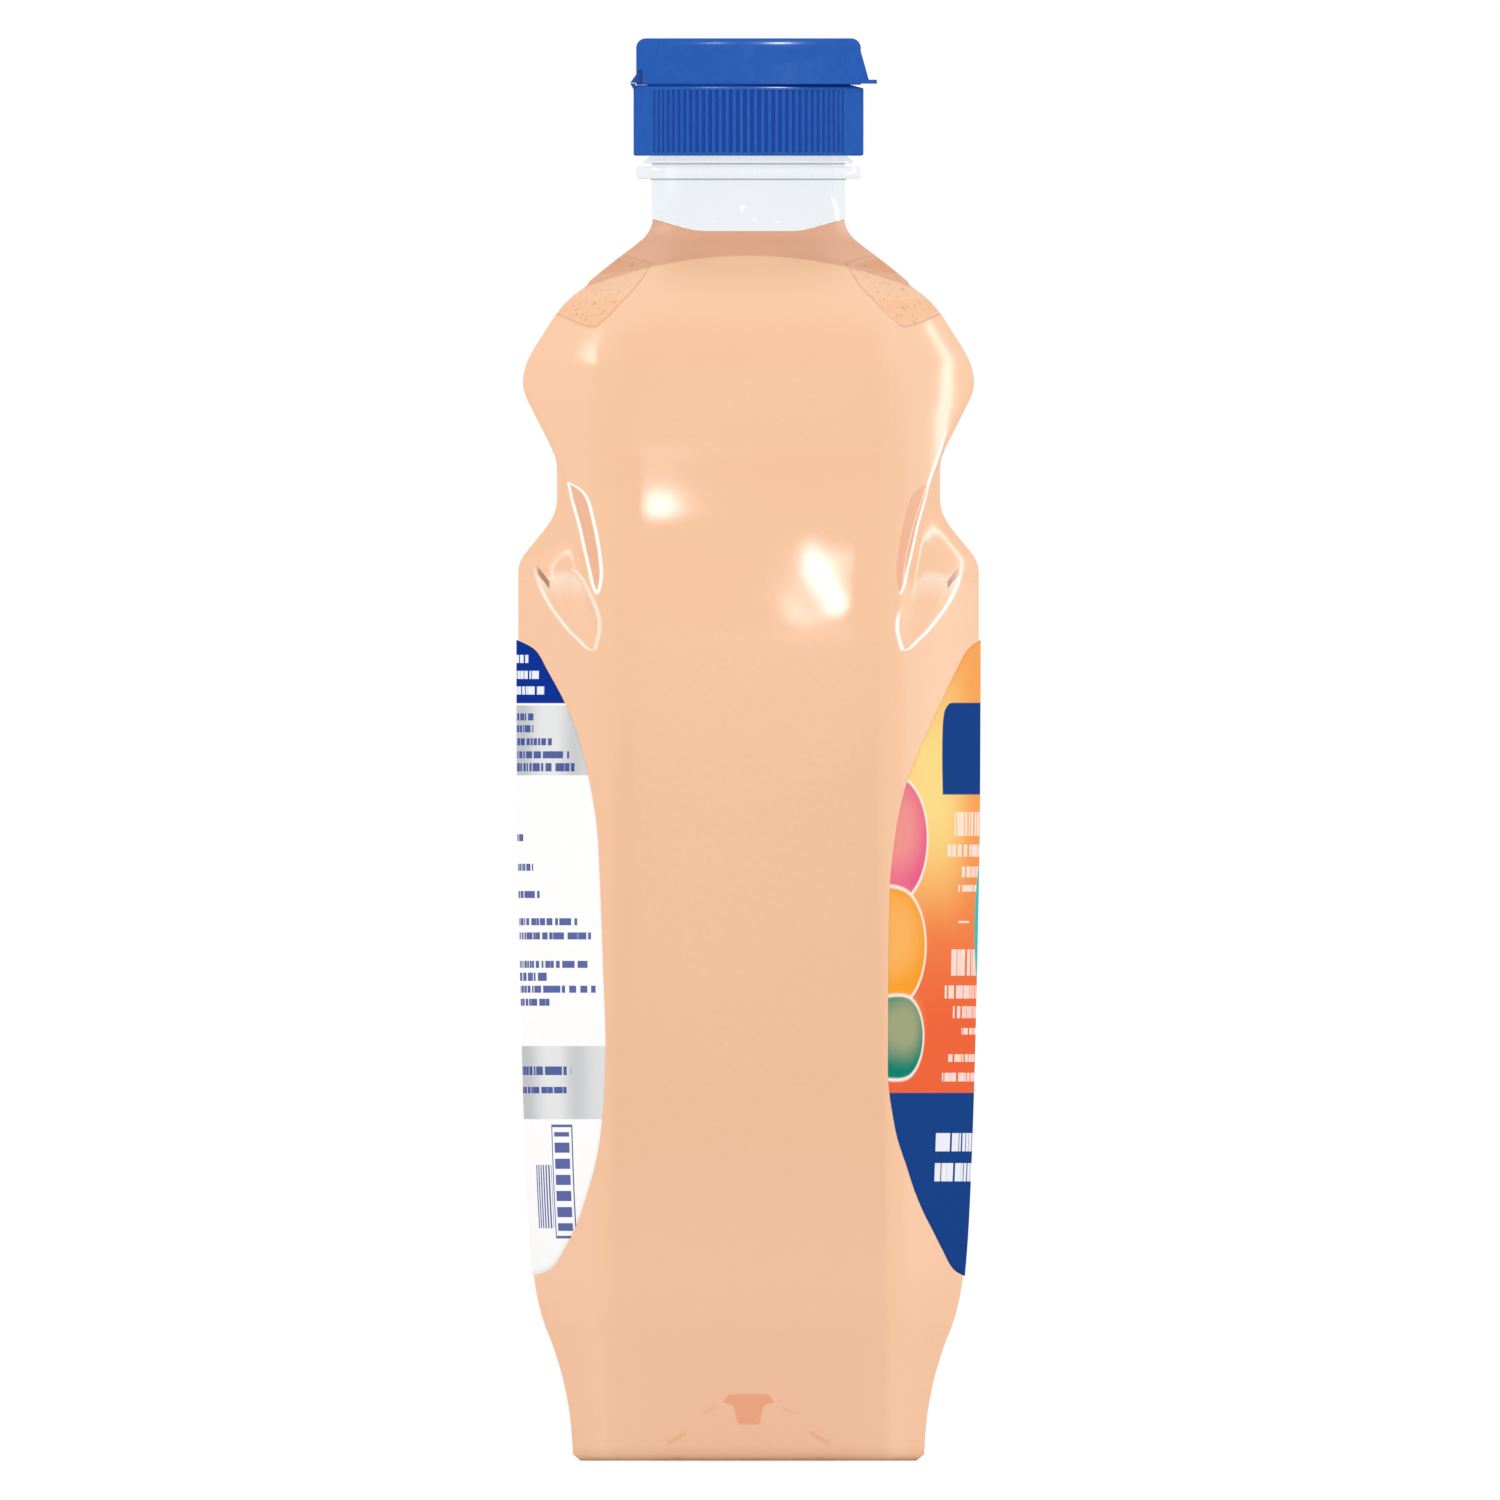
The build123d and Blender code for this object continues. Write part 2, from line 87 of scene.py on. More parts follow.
# Soap, labels, and the half widths of the labels' outlines at heights
FILL_LEVEL, SOAP_GAP, CLING_REACH, CLING = 229.1, 0.05, 9.7, 0.27
LABEL_LEVEL, LABEL_HEIGHT, LABEL_LIFT = 93.8, 118.4, 0.1
FRONT_EDGE = [(34.6, 0.0), (35.7, 19.1), (39.5, 28.7), (43.2, 34.5), (46.9, 39.3), (54.3, 45.4),
              (61.8, 48.7), (73.0, 50.3), (91.6, 50.6), (106.0, 50.4), (117.6, 49.3), (125.1, 47.4),
              (132.5, 42.7), (139.9, 35.8), (147.4, 26.6), (151.1, 19.6), (153.0, 0.0)]
BACK_EDGE = [(34.6, 0.0), (35.7, 24.3), (39.5, 33.7), (43.2, 38.7), (46.9, 42.2), (54.3, 46.7), (61.8, 48.6),
             (69.2, 49.5), (80.4, 50.0), (95.3, 49.7), (106.4, 49.3), (117.6, 48.6), (125.1, 47.1),
             (132.5, 44.1), (139.9, 39.0), (147.4, 30.0), (151.1, 23.4), (153.0, 0.0)]

# Points in a row round the bottle, how far they crowd to the corners, rings and points of a label, and
# the gaps between rows from heights up
AROUND, CROWDING, LABEL_RINGS, LABEL_AROUND = 256, 0.1, 44, 220
ROW_GAPS = [(FOOT_ROUND, 1.3), (34.0, 2.3), (150.0, 0.85), (204.0, 0.55)]
PUSH_SHARES = [0.04, 0.08, 0.12, 0.16, 0.2, 0.26, 0.34, 0.42, 0.5, 0.58, 0.66, 0.74, 0.8, 0.86, 0.91, 0.95,
               0.98, 1.0]
INNER_SHARES = [0.98, 0.91, 0.8, 0.66, 0.5, 0.34, 0.2, 0.08]

# Edges of the marks that the wall's forms show in the soap, painted there as light and shade, as places at
# # heights or heights at places, out from the middle plane; the panels' edges also shape the wall
LENS_FOOT, LENS_HEAD, LEAF_FOOT, LEAF_HEAD = 161.5, 182.3, 151.0, 166.3
LENS_IN = [(161.5, 28.2), (162.7, 27.75), (165.0, 27.4), (167.6, 27.55), (171.5, 28.1), (175.5, 28.95),
           (178.6, 29.75), (180.2, 30.6), (181.3, 31.8), (182.2, 33.5)]
LENS_OUT = [(161.5, 28.2), (163.2, 28.95), (166.0, 29.6), (171.0, 30.75), (174.0, 31.4), (177.6, 32.4),
            (180.7, 33.25), (182.2, 33.6), (186.5, 35.1), (189.0, 35.9), (193.0, 37.2)]
LEAF_IN = [(151.0, 28.7), (153.0, 28.1), (155.4, 27.7), (157.4, 27.9), (160.0, 28.8), (162.6, 30.0),
           (165.0, 31.4), (166.6, 33.5)]
LEAF_OUT = [(151.0, 28.9), (151.5, 30.1), (153.0, 31.6), (154.4, 33.1), (157.0, 35.2), (159.2, 36.8),
            (162.2, 38.4), (165.0, 39.5), (166.6, 39.8)]
PANEL_FOOT = [(18.2, 223.0), (20.5, 219.3), (24.4, 215.1), (27.2, 212.3), (28.8, 211.3), (30.2, 211.5),
              (35.4, 213.6), (40.0, 215.4)]
PANEL_HEAD = [(18.2, 223.1), (20.4, 223.8), (24.0, 224.6), (40.0, 226.5)]
LEAF_ROOF = [(30.5, 163.0), (32.0, 165.4), (34.0, 166.5), (36.5, 165.9), (40.0, 164.6)]
NUB_SIDE = [(6.9, 1.5), (7.3, 2.1), (8.0, 2.3), (9.6, 2.6), (10.3, 2.9), (10.8, 3.8), (11.2, 4.7),
            (12.0, 4.2), (12.7, 3.4)]

SHOULDER_BASE = FLARE_HEIGHT + BELLY_HEIGHT
CROWN_TOP = SHOULDER_BASE + SHOULDER_HEIGHT


def mix(start, end, share):
    return start + (end - start) * share


def smooth_min(a, b, k):
    h = np.clip(0.5 + 0.5 * (b - a) / k, 0.0, 1.0)
    return b * (1 - h) + a * h - k * h * (1 - h)


def smooth_max(a, b, k):
    return -smooth_min(-a, -b, k)


def smooth_step(low, high, value):
    t = np.clip((value - low) / (high - low), 0.0, 1.0)
    return t * t * (3 - 2 * t)


class Curve:
    """A smooth curve through a few points that never swings past them."""

    def __init__(self, x, y):
        self.x, self.y = np.asarray(x, float), np.asarray(y, float)
        h, d = np.diff(self.x), np.diff(self.y) / np.diff(self.x)
        m = np.zeros(len(self.x))
        m[0], m[-1] = d[0], d[-1]
        for i in range(1, len(d)):
            if d[i - 1] * d[i] > 0:
                w1, w2 = 2 * h[i] + h[i - 1], h[i] + 2 * h[i - 1]
                m[i] = (w1 + w2) / (w1 / d[i - 1] + w2 / d[i])
        self.m = m

    def __call__(self, at):
        at = np.clip(at, self.x[0], self.x[-1])
        i = np.clip(np.searchsorted(self.x, at) - 1, 0, len(self.x) - 2)
        h = self.x[i + 1] - self.x[i]
        t = (at - self.x[i]) / h
        return (self.y[i] * (1 + 2 * t) * (1 - t) ** 2 + self.m[i] * h * t * (1 - t) ** 2
                + self.y[i + 1] * t ** 2 * (3 - 2 * t) + self.m[i + 1] * h * t ** 2 * (t - 1))


def wall_levels(drop):
    """Height, depth, width, side depth and corner radius of each level, above the foot's edge."""
    levels = [(FOOT_ROUND, FOOT_DEPTH, FOOT_WIDTH, SIDE_DEPTH, FOOT_CORNER)]
    for rise, swell in FLARE:
        levels.append((mix(FOOT_ROUND, FLARE_HEIGHT, rise), mix(FOOT_DEPTH, BELLY_DEPTH, swell),
                       mix(FOOT_WIDTH, BELLY_WIDTH, swell), SIDE_DEPTH,
                       mix(FOOT_CORNER, CORNER_ROUND, swell)))
    for rise, swell, spread, pinch in BELLY:
        width = mix(mix(BELLY_WIDTH, BODY_WIDTH, spread), WAIST_WIDTH, pinch)
        depth = mix(BELLY_DEPTH, BODY_DEPTH, swell)
        levels.append((mix(FLARE_HEIGHT, SHOULDER_BASE, rise), depth, width, SIDE_DEPTH, CORNER_ROUND))
    for rise, close, narrow in SHOULDER:
        levels.append((mix(SHOULDER_BASE, CROWN_TOP - drop, rise), mix(depth, CROWN_DEPTH, close),
                       mix(width, CROWN_WIDTH, narrow), mix(SIDE_DEPTH, CROWN_SIDE, close),
                       mix(CORNER_ROUND, CROWN_CORNER, close)))
    return levels


def circle_reach(angle, x, y, radius):
    """How far a ray from the axis goes to the far side of a circle."""
    along = np.cos(angle) * x + np.sin(angle) * y
    return along + np.sqrt(np.maximum(along ** 2 - x ** 2 - y ** 2 + radius ** 2, 0.0))


class Wall:
    """The wall's outline at any height: crowned front and back, bowed sides, round corners."""

    def __init__(self, inset=0.0, drop=0.0):
        table = np.array(wall_levels(drop)).T
        self.depth, self.width, self.side, self.corner = [Curve(table[0], row) for row in table[1:]]
        self.inset = inset

    def reach(self, angle, z, draw_in=0.0):
        """Distance from the axis to the wall, for angles from the front, at heights."""
        inset = self.inset + draw_in
        z = np.maximum(z, FOOT_ROUND)
        angle = np.abs(np.arctan2(np.abs(np.sin(angle)), np.abs(np.cos(angle))))
        x, y, e, rc = self.depth(z) / 2, self.width(z) / 2, self.side(z) / 2, self.corner(z)
        edge = y - SIDE_BOW
        front = (edge ** 2 + (x - e) ** 2) / (2 * (x - e))
        side = (e ** 2 + SIDE_BOW ** 2) / (2 * SIDE_BOW)
        fx, sy = x - front, y - side
        a, b = front - rc, side - rc
        gap = np.hypot(fx, sy)
        along = (a ** 2 - b ** 2 + gap ** 2) / (2 * gap)
        off = np.sqrt(np.maximum(a ** 2 - along ** 2, 0.0))
        ux, uy = -fx / gap, sy / gap
        cx, cy = fx + ux * along - uy * off, uy * along + ux * off
        flip = (cx < 0) | (cy < 0)
        cx = np.where(flip, fx + ux * along + uy * off, cx)
        cy = np.where(flip, uy * along - ux * off, cy)
        scale = front / a
        front_end = np.arctan2(cy * scale, fx + (cx - fx) * scale)
        scale = side / b
        side_start = np.arctan2(sy + (cy - sy) * scale, cx * scale)
        r = np.where(angle < front_end, circle_reach(angle, fx, 0.0, front - inset),
                     circle_reach(angle, cx, cy, rc - inset))
        return np.where(angle > side_start, circle_reach(angle, 0.0, sy, side - inset), r)


GRIP_TABLE = np.array(GRIP).T
GRIP_REACH = GRIP_TABLE[0] * WAIST_WIDTH / 2
GRIP_FALL, GRIP_LOW, GRIP_HIGH = [Curve(GRIP_REACH, row) for row in GRIP_TABLE[1:]]


def grip_depth(y, z, grow):
    """How far out of the middle plane the grip's notch lies, at a place on the front."""
    y = np.abs(y)
    floor = BODY_DEPTH / 2 - GRIP_DEPTH - GRIP_FALL(y)
    middle = SHOULDER_BASE - GRIP_BELOW_SHOULDER
    low = middle - GRIP_FLOOR / 2 - GRIP_LOW(y)
    high = middle + GRIP_FLOOR / 2 - GRIP_HIGH(y)
    up = (z - high) * GRIP_DEPTH / GRIP_RISE
    down = (low - z) * GRIP_DEPTH / GRIP_DROP
    flank = smooth_max(smooth_max(up, 0.0, GRIP_HEAD_ROUND), down, GRIP_FOOT_ROUND)
    return floor + flank - GRIP_GROWTH * grow


def collar_radius(z, foot, foot_level, top):
    """The collar's swelling slope."""
    share = (z - foot_level) / (NECK_FOOT - foot_level)
    return mix(foot, top, share) + COLLAR_SWELL * 4 * share * (1 - share)


def side_twist(x, y, z):
    """A slight twist of the flat sides between the ends of the grips, which slants the gloss there."""
    across, up = np.abs(x) - TWIST_REACH, z - TWIST_LEVEL
    window = smooth_step(TWIST_SIZE, TWIST_SIZE / 3, np.hypot(across, up)) * (np.abs(y) > TWIST_START)
    return TWIST * across * up * window


def body_points(wall, angles, z, draw_in=0.0, collar=None):
    """Points of the body at one height (or one height for each angle)."""
    z = np.broadcast_to(np.asarray(z, float), angles.shape)
    r = wall.reach(angles, z, draw_in)
    if collar:
        foot, level, top = collar
        slope = collar_radius(z, foot, level, top)
        swell = np.where(z < level, foot - (level - z) * COLLAR_SPREAD, slope)
        r = np.where(z > level - 1.0, smooth_max(r, swell, COLLAR_BLEND), r)
    x, y = r * np.cos(angles), r * np.sin(angles)
    y = y - np.sign(y) * side_twist(x, y, z)
    notch = grip_depth(y, z, wall.inset + draw_in)
    x = np.sign(x) * smooth_min(np.abs(x), notch, GRIP_BLEND)
    return np.stack([x, y, z], axis=-1)


def wall_angles(count):
    """Angles round the axis, closer together at the corners."""
    even = np.linspace(0, 2 * math.pi, count, endpoint=False)
    return even + CROWDING * np.sin(4 * even)


def make_mesh(name, verts, faces, body):
    """A smooth piece that rides on a body."""
    mesh = bpy.data.meshes.new(name)
    mesh.from_pydata([tuple(v) for v in np.asarray(verts) * MM], [], faces)
    mesh.validate()
    mesh.shade_smooth()
    piece = bpy.data.objects.new(name, mesh)
    bpy.context.scene.collection.objects.link(piece)
    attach(piece, body)
    return piece


def ring_faces(rows, cols):
    """Quads between rows of points that each run once round."""
    i = np.arange(rows - 1)[:, None] * cols
    j = np.arange(cols)[None, :]
    k = (j + 1) % cols
    quads = np.stack([i + j, i + k, i + cols + k, i + cols + j], axis=-1)
    return quads.reshape(-1, 4).tolist()


def circle_row(angles, r, z):
    """One row of points round the axis, with a radius and a height, or one of them for each angle."""
    r, z = np.broadcast_to(r, angles.shape), np.broadcast_to(z, angles.shape)
    return np.stack([r * np.cos(angles), r * np.sin(angles), z], axis=-1)


def lathe(name, rows, body, start, end):
    """A mesh of rows of points round the axis, closed at either end by a middle point."""
    rows = np.asarray(rows)
    count, cols = rows.shape[:2]
    first, last = count * cols, (count - 1) * cols
    faces = ring_faces(count, cols)
    faces += [(first, (j + 1) % cols, j) for j in range(cols)]
    faces += [(first + 1, last + j, last + (j + 1) % cols) for j in range(cols)]
    return make_mesh(name, [*rows.reshape(-1, 3), start, end], faces, body)


def push_up_rows(angles, grow, shares, ridges):
    """Rows of the push-up, each at a share of its reach."""
    curve = Curve([1 - size for _, size in PUSH_RINGS], [rise for rise, _ in PUSH_RINGS])
    a, b = PUSH_DEPTH / 2 + grow, PUSH_WIDTH / 2 + grow
    rows = []
    for share in shares:
        x, y = a * share * np.cos(angles), b * share * np.sin(angles)
        z = (PUSH_HEIGHT + grow) * curve(np.full(angles.shape, 1 - share))
        if ridges:
            far = np.hypot(x, y)
            across = far * np.abs(np.sin(np.arctan2(y, x) * SPOKE_COUNT / 2)) / (SPOKE_COUNT / 2)
            z = z - SPOKE_HEIGHT * smooth_step(SPOKE_WIDTH, 0.2, across) * smooth_step(1.0, 0.9, share)
            z = z - NUB_HEIGHT * smooth_step(NUB_RADIUS, NUB_RADIUS / 2, far)
        rows.append(np.stack([x, y, np.maximum(z, 0.0)], axis=-1))
    return rows


def neck_reach(z):
    """Radius of the hollow curve between the collar and the neck."""
    start = collar_radius(NECK_ROOT, COLLAR_RADIUS, COLLAR_FOOT, NECK_RADIUS)
    blend = Curve([NECK_ROOT, NECK_FOOT - 0.9, NECK_FOOT + 0.5, NECK_FOOT + 2.0, NECK_START],
                  [start, 19.6, 18.65, 18.12, NECK_RADIUS])
    return float(blend(z))


def neck_profile():
    """Height and radius of the neck's outside, from the ring to the thread."""
    return [(RING_BOTTOM - 0.3, NECK_RADIUS), (RING_BOTTOM, NECK_RADIUS + 0.35),
            (RING_BOTTOM, RING_RADIUS - 0.3), (RING_BOTTOM + 0.3, RING_RADIUS),
            (RING_TOP - 0.35, RING_RADIUS), (RING_TOP, RING_RADIUS - 0.4),
            (RING_TOP, STEM_RADIUS + 0.3), (RING_TOP + 0.3, STEM_RADIUS),
            (BEAD_BOTTOM - 0.1, STEM_RADIUS), (BEAD_BOTTOM, STEM_RADIUS + 0.2),
            (BEAD_BOTTOM, BEAD_RADIUS - 0.15), (BEAD_BOTTOM + 0.2, BEAD_RADIUS),
            (BEAD_BOTTOM + 0.5, BEAD_RADIUS - 0.25), (BEAD_TOP, STEM_RADIUS),
            (BEAD_TOP + 0.3, THREAD_ROOT)]


def thread_bump(angles, z):
    """How far the right-hand thread stands out of the neck."""
    share = angles / (2 * math.pi)
    turns = (z - THREAD_START) / THREAD_PITCH - share
    off = np.abs(turns - np.round(turns)) * THREAD_PITCH
    height = THREAD_START + (np.round(turns) + share) * THREAD_PITCH
    fade = (smooth_step(THREAD_START - 0.2, THREAD_START + 1.2, height)
            * smooth_step(THREAD_END + 0.2, THREAD_END - 1.2, height))
    return (THREAD_CREST - THREAD_ROOT) * smooth_step(1.15, 0.35, off) * fade


def panel_mask(points):
    """1 inside the shallow panels on the front and back of the shoulder."""
    u, z = np.abs(points[..., 0]), points[..., 2]
    foot, head = [Curve(*zip(*edge)) for edge in (PANEL_FOOT, PANEL_HEAD)]
    inside = np.minimum(z - foot(u), head(u) - z)
    return smooth_step(-0.3, 0.5, inside) * smooth_step(18.0, 18.6, u)


def normals_of(rows):
    """Outward normals of a grid of rows, by differences."""
    along = np.roll(rows, -1, axis=1) - np.roll(rows, 1, axis=1)
    up = np.gradient(rows, axis=0)
    n = np.cross(along, up)
    return n / np.maximum(np.linalg.norm(n, axis=-1, keepdims=True), 1e-9)


def body_heights(step, top):
    """Heights of the rows: close together at the foot, the grips and the shoulder."""
    ends = [low for low, _ in ROW_GAPS[1:]] + [top]
    return np.concatenate([np.arange(low, end, gap * step) for (low, gap), end in zip(ROW_GAPS, ends)])


def foot_rows(wall, angles):
    """Rows from the middle of the push-up out to the rounded edge of the foot."""
    rows = push_up_rows(angles, 0.0, PUSH_SHARES, True)
    inner_edge = rows[-1]
    ring = body_points(wall, angles, FOOT_ROUND, FOOT_ROUND)
    ring[:, 2] = 0.0
    rows += [mix(inner_edge, ring, share) for share in (0.04, 0.35, 0.7, 0.97)]
    for turn in np.radians([0, 20, 40, 60, 80]):
        row = body_points(wall, angles, FOOT_ROUND, FOOT_ROUND * (1 - math.sin(turn)))
        row[:, 2] = FOOT_ROUND * (1 - math.cos(turn))
        rows.append(row)
    return rows


def neck_rows(angles):
    """Rows of the neck's outside, from the collar over the thread and the rim to the bore."""
    curve = [(z, neck_reach(z)) for z in np.linspace(NECK_ROOT, NECK_START, 14)]
    rows = [circle_row(angles, r, z) for z, r in curve + neck_profile()]
    for z in np.arange(BEAD_TOP + 0.6, RIM_TOP - 0.5, 0.4):
        rows.append(circle_row(angles, THREAD_ROOT + thread_bump(angles, z), z))
    rim = [(RIM_TOP - 0.4, THREAD_ROOT), (RIM_TOP - 0.1, THREAD_ROOT - 0.15),
           (RIM_TOP, THREAD_ROOT - 0.5), (RIM_TOP, NECK_BORE + 0.4), (RIM_TOP - 0.3, NECK_BORE)]
    return rows + [circle_row(angles, r, z) for z, r in rim]


def inner_rows(angles):
    """Rows of the inside, from the bore down to the middle of the foot."""
    bore = [(RIM_TOP - 8, NECK_BORE), (RIM_TOP - 16, NECK_BORE), (RIM_TOP - 19, NECK_BORE),
            (RIM_TOP - 21, NECK_BORE + 1.2)]
    bore += [(NECK_FOOT + up, neck_reach(NECK_FOOT + up) - WALL) for up in (2.0, 0.8, -0.2, -1.2)]
    rows = [circle_row(angles, r, z) for z, r in bore]
    wall = Wall(WALL, CROWN_WALL)
    collar = (COLLAR_RADIUS - WALL, COLLAR_FOOT - COLLAR_WALL, NECK_RADIUS - WALL)
    rows += [body_points(wall, angles, z, collar=collar) for z in body_heights(2.2, NECK_ROOT)[::-1]]
    floor = body_points(wall, angles, FOOT_ROUND, FOOT_ROUND)
    edge, *push_up = push_up_rows(angles, WALL, [1.0] + INNER_SHARES, False)
    floor[:, 2] = edge[:, 2] = WALL
    push_up[0][:, 2] = np.maximum(push_up[0][:, 2], WALL)
    return rows + [floor, mix(floor, edge, 0.5)] + push_up


def build_bottle():
    """The blown bottle: one closed shell from the push-up over the rim to the inside of the foot."""
    angles = wall_angles(AROUND)
    wall = Wall()
    collar = (COLLAR_RADIUS, COLLAR_FOOT, NECK_RADIUS)
    outer = np.array([body_points(wall, angles, z, collar=collar) for z in body_heights(1.0, NECK_ROOT)])
    outer = outer - normals_of(outer) * (PANEL_DEPTH * panel_mask(outer))[..., None]
    outside = foot_rows(wall, angles) + list(outer) + neck_rows(angles)
    bottle = lathe("bottle_shell", outside + inner_rows(angles), "bottle",
                   start=(0, 0, PUSH_HEIGHT - NUB_HEIGHT), end=(0, 0, PUSH_HEIGHT + WALL))
    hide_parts("bottle")
    bottle["outer_faces"] = (len(outside) - 1) * AROUND
    return bottle


def soap_level(x):
    """Height of the soap's edge in the neck, where it clings to the wall."""
    return FILL_LEVEL + CLING * smooth_max(np.abs(x) - CLING_REACH, 0.0, 2.0)


def build_soap():
    """The soap up to its level in the neck."""
    angles = wall_angles(AROUND)
    inset = WALL + SOAP_GAP
    wall = Wall(inset, CROWN_WALL + SOAP_GAP)
    collar = (COLLAR_RADIUS - inset, COLLAR_FOOT - COLLAR_WALL, NECK_RADIUS - inset)
    rows = push_up_rows(angles, inset, INNER_SHARES[::-1], False)
    floor = body_points(wall, angles, FOOT_ROUND, FOOT_ROUND)
    floor[:, 2] = inset
    rows += [mix(rows[-1], floor, 0.5), floor]
    rows += [body_points(wall, angles, z, collar=collar) for z in body_heights(1.3, NECK_ROOT)]
    rows += [circle_row(angles, neck_reach(z) - inset, z)
             for z in np.linspace(NECK_ROOT + 0.3, FILL_LEVEL - 0.2, 5)]
    middle, edge = FILL_LEVEL - 0.1, soap_level(np.cos(angles) * NECK_RADIUS)
    for share in (0.0, 0.3, 0.6, 0.85, 1.0):
        z = mix(middle, edge, share)
        rows.append(circle_row(angles, np.array([neck_reach(level) for level in z]) - inset, z))
    rows += [circle_row(angles, reach, mix(middle, edge, share))
             for reach, share in ((17.2, 0.75), (16.0, 0.35), (13.0, 0.1), (9.0, 0.0))]
    soap = lathe("soap_body", rows, "bottle", start=(0, 0, PUSH_HEIGHT + inset),
                 end=(0, 0, middle))
    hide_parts("soap_fill")
    return soap


def front_surface(y, z, lift):
    """Place of the front wall at a distance from the middle plane, lifted off it."""
    wall, first_guess, tries = Wall(-lift), 40.0, 12
    angle = np.arctan2(np.abs(y), first_guess)
    for _ in range(tries):
        angle = np.arcsin(np.clip(np.abs(y) / wall.reach(angle, z), 0, 1))
    return wall.reach(angle, z) * np.cos(angle)


def build_label(name, node, side):
    """An oval film label that follows the wall."""
    around = np.linspace(0, 2 * math.pi, LABEL_AROUND, endpoint=False)
    z, half = np.array(FRONT_EDGE if side > 0 else BACK_EDGE).T
    turn = np.arcsin(np.clip((z - LABEL_LEVEL) / (LABEL_HEIGHT / 2), -1, 1))
    edge_y = np.sign(np.cos(around)) * Curve(turn, half)(np.arcsin(np.sin(around)))
    edge_z = np.sin(around) * LABEL_HEIGHT / 2
    shares = [i / LABEL_RINGS for i in range(1, LABEL_RINGS + 1)]
    rows = []
    for lift, order in ((LABEL_LIFT, shares), (LABEL_LIFT / 4, shares[::-1])):
        for share in order:
            y, z = edge_y * share, LABEL_LEVEL + edge_z * share
            rows.append(np.stack([side * front_surface(y, z, lift), side * y, z], axis=-1))
    middle = [(side * float(front_surface(np.zeros(1), np.full(1, LABEL_LEVEL), lift)[0]), 0, LABEL_LEVEL)
              for lift in (LABEL_LIFT, LABEL_LIFT / 4)]
    label = lathe(name, rows, "bottle", start=middle[0], end=middle[1])
    # A film this thin throws no shadow on the wall that it lies on
    label.visible_shadow = label.visible_diffuse = False
    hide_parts(node)
    return label


# Materials: colours are written as they look, 0 to 255


def srgb(r, g, b):
    """A colour as the renderer counts it."""
    parts = [c / 255 for c in (r, g, b)]
    return tuple(c / 12.92 if c <= 0.04045 else ((c + 0.055) / 1.055) ** 2.4 for c in parts)


# Soap tones: the first is the soap's peach; all the others are painted light and shade laid over it
SOAP_HIGH, SOAP_LOW_SHADE, SOAP_EDGE_LIGHT = srgb(246, 195, 156), srgb(237, 186, 148), srgb(249, 199, 160)
SOAP_TOP_LIGHT, SOAP_FOOT_LIGHT, SOAP_COLLAR_SHADE = srgb(253, 201, 161), srgb(242, 193, 159), srgb(230, 171, 137)
SOAP_PANEL_SHADE, SOAP_POCKET_SHADE, SOAP_PUSH_UP_SHADE = srgb(196, 140, 104), srgb(240, 176, 141), srgb(238, 165, 128)
SOAP_SLIT_SHADE, SOAP_GLEAM = srgb(172, 122, 80), srgb(255, 250, 242)
NAVY, PINK, AMBER, TEAL = srgb(27, 68, 138), srgb(235, 92, 140), srgb(250, 158, 28), srgb(18, 132, 112)
CAP_GROOVE_SHADE = srgb(10, 68, 164)
WHITE = (1.0, 1.0, 1.0)
WALL_ROUGHNESS, EDGE_ROUGHNESS, DULL_ROUGHNESS, GLOSS_LIMIT = 0.12, 0.18, 0.4, 0.07
WALL_IOR, SOAP_IOR, NECK_MILK, CAP_GLOSS, RIM_GLOW, TOP_GLOW = 1.45, 1.36, 0.09, 0.012, 0.1, 0.35


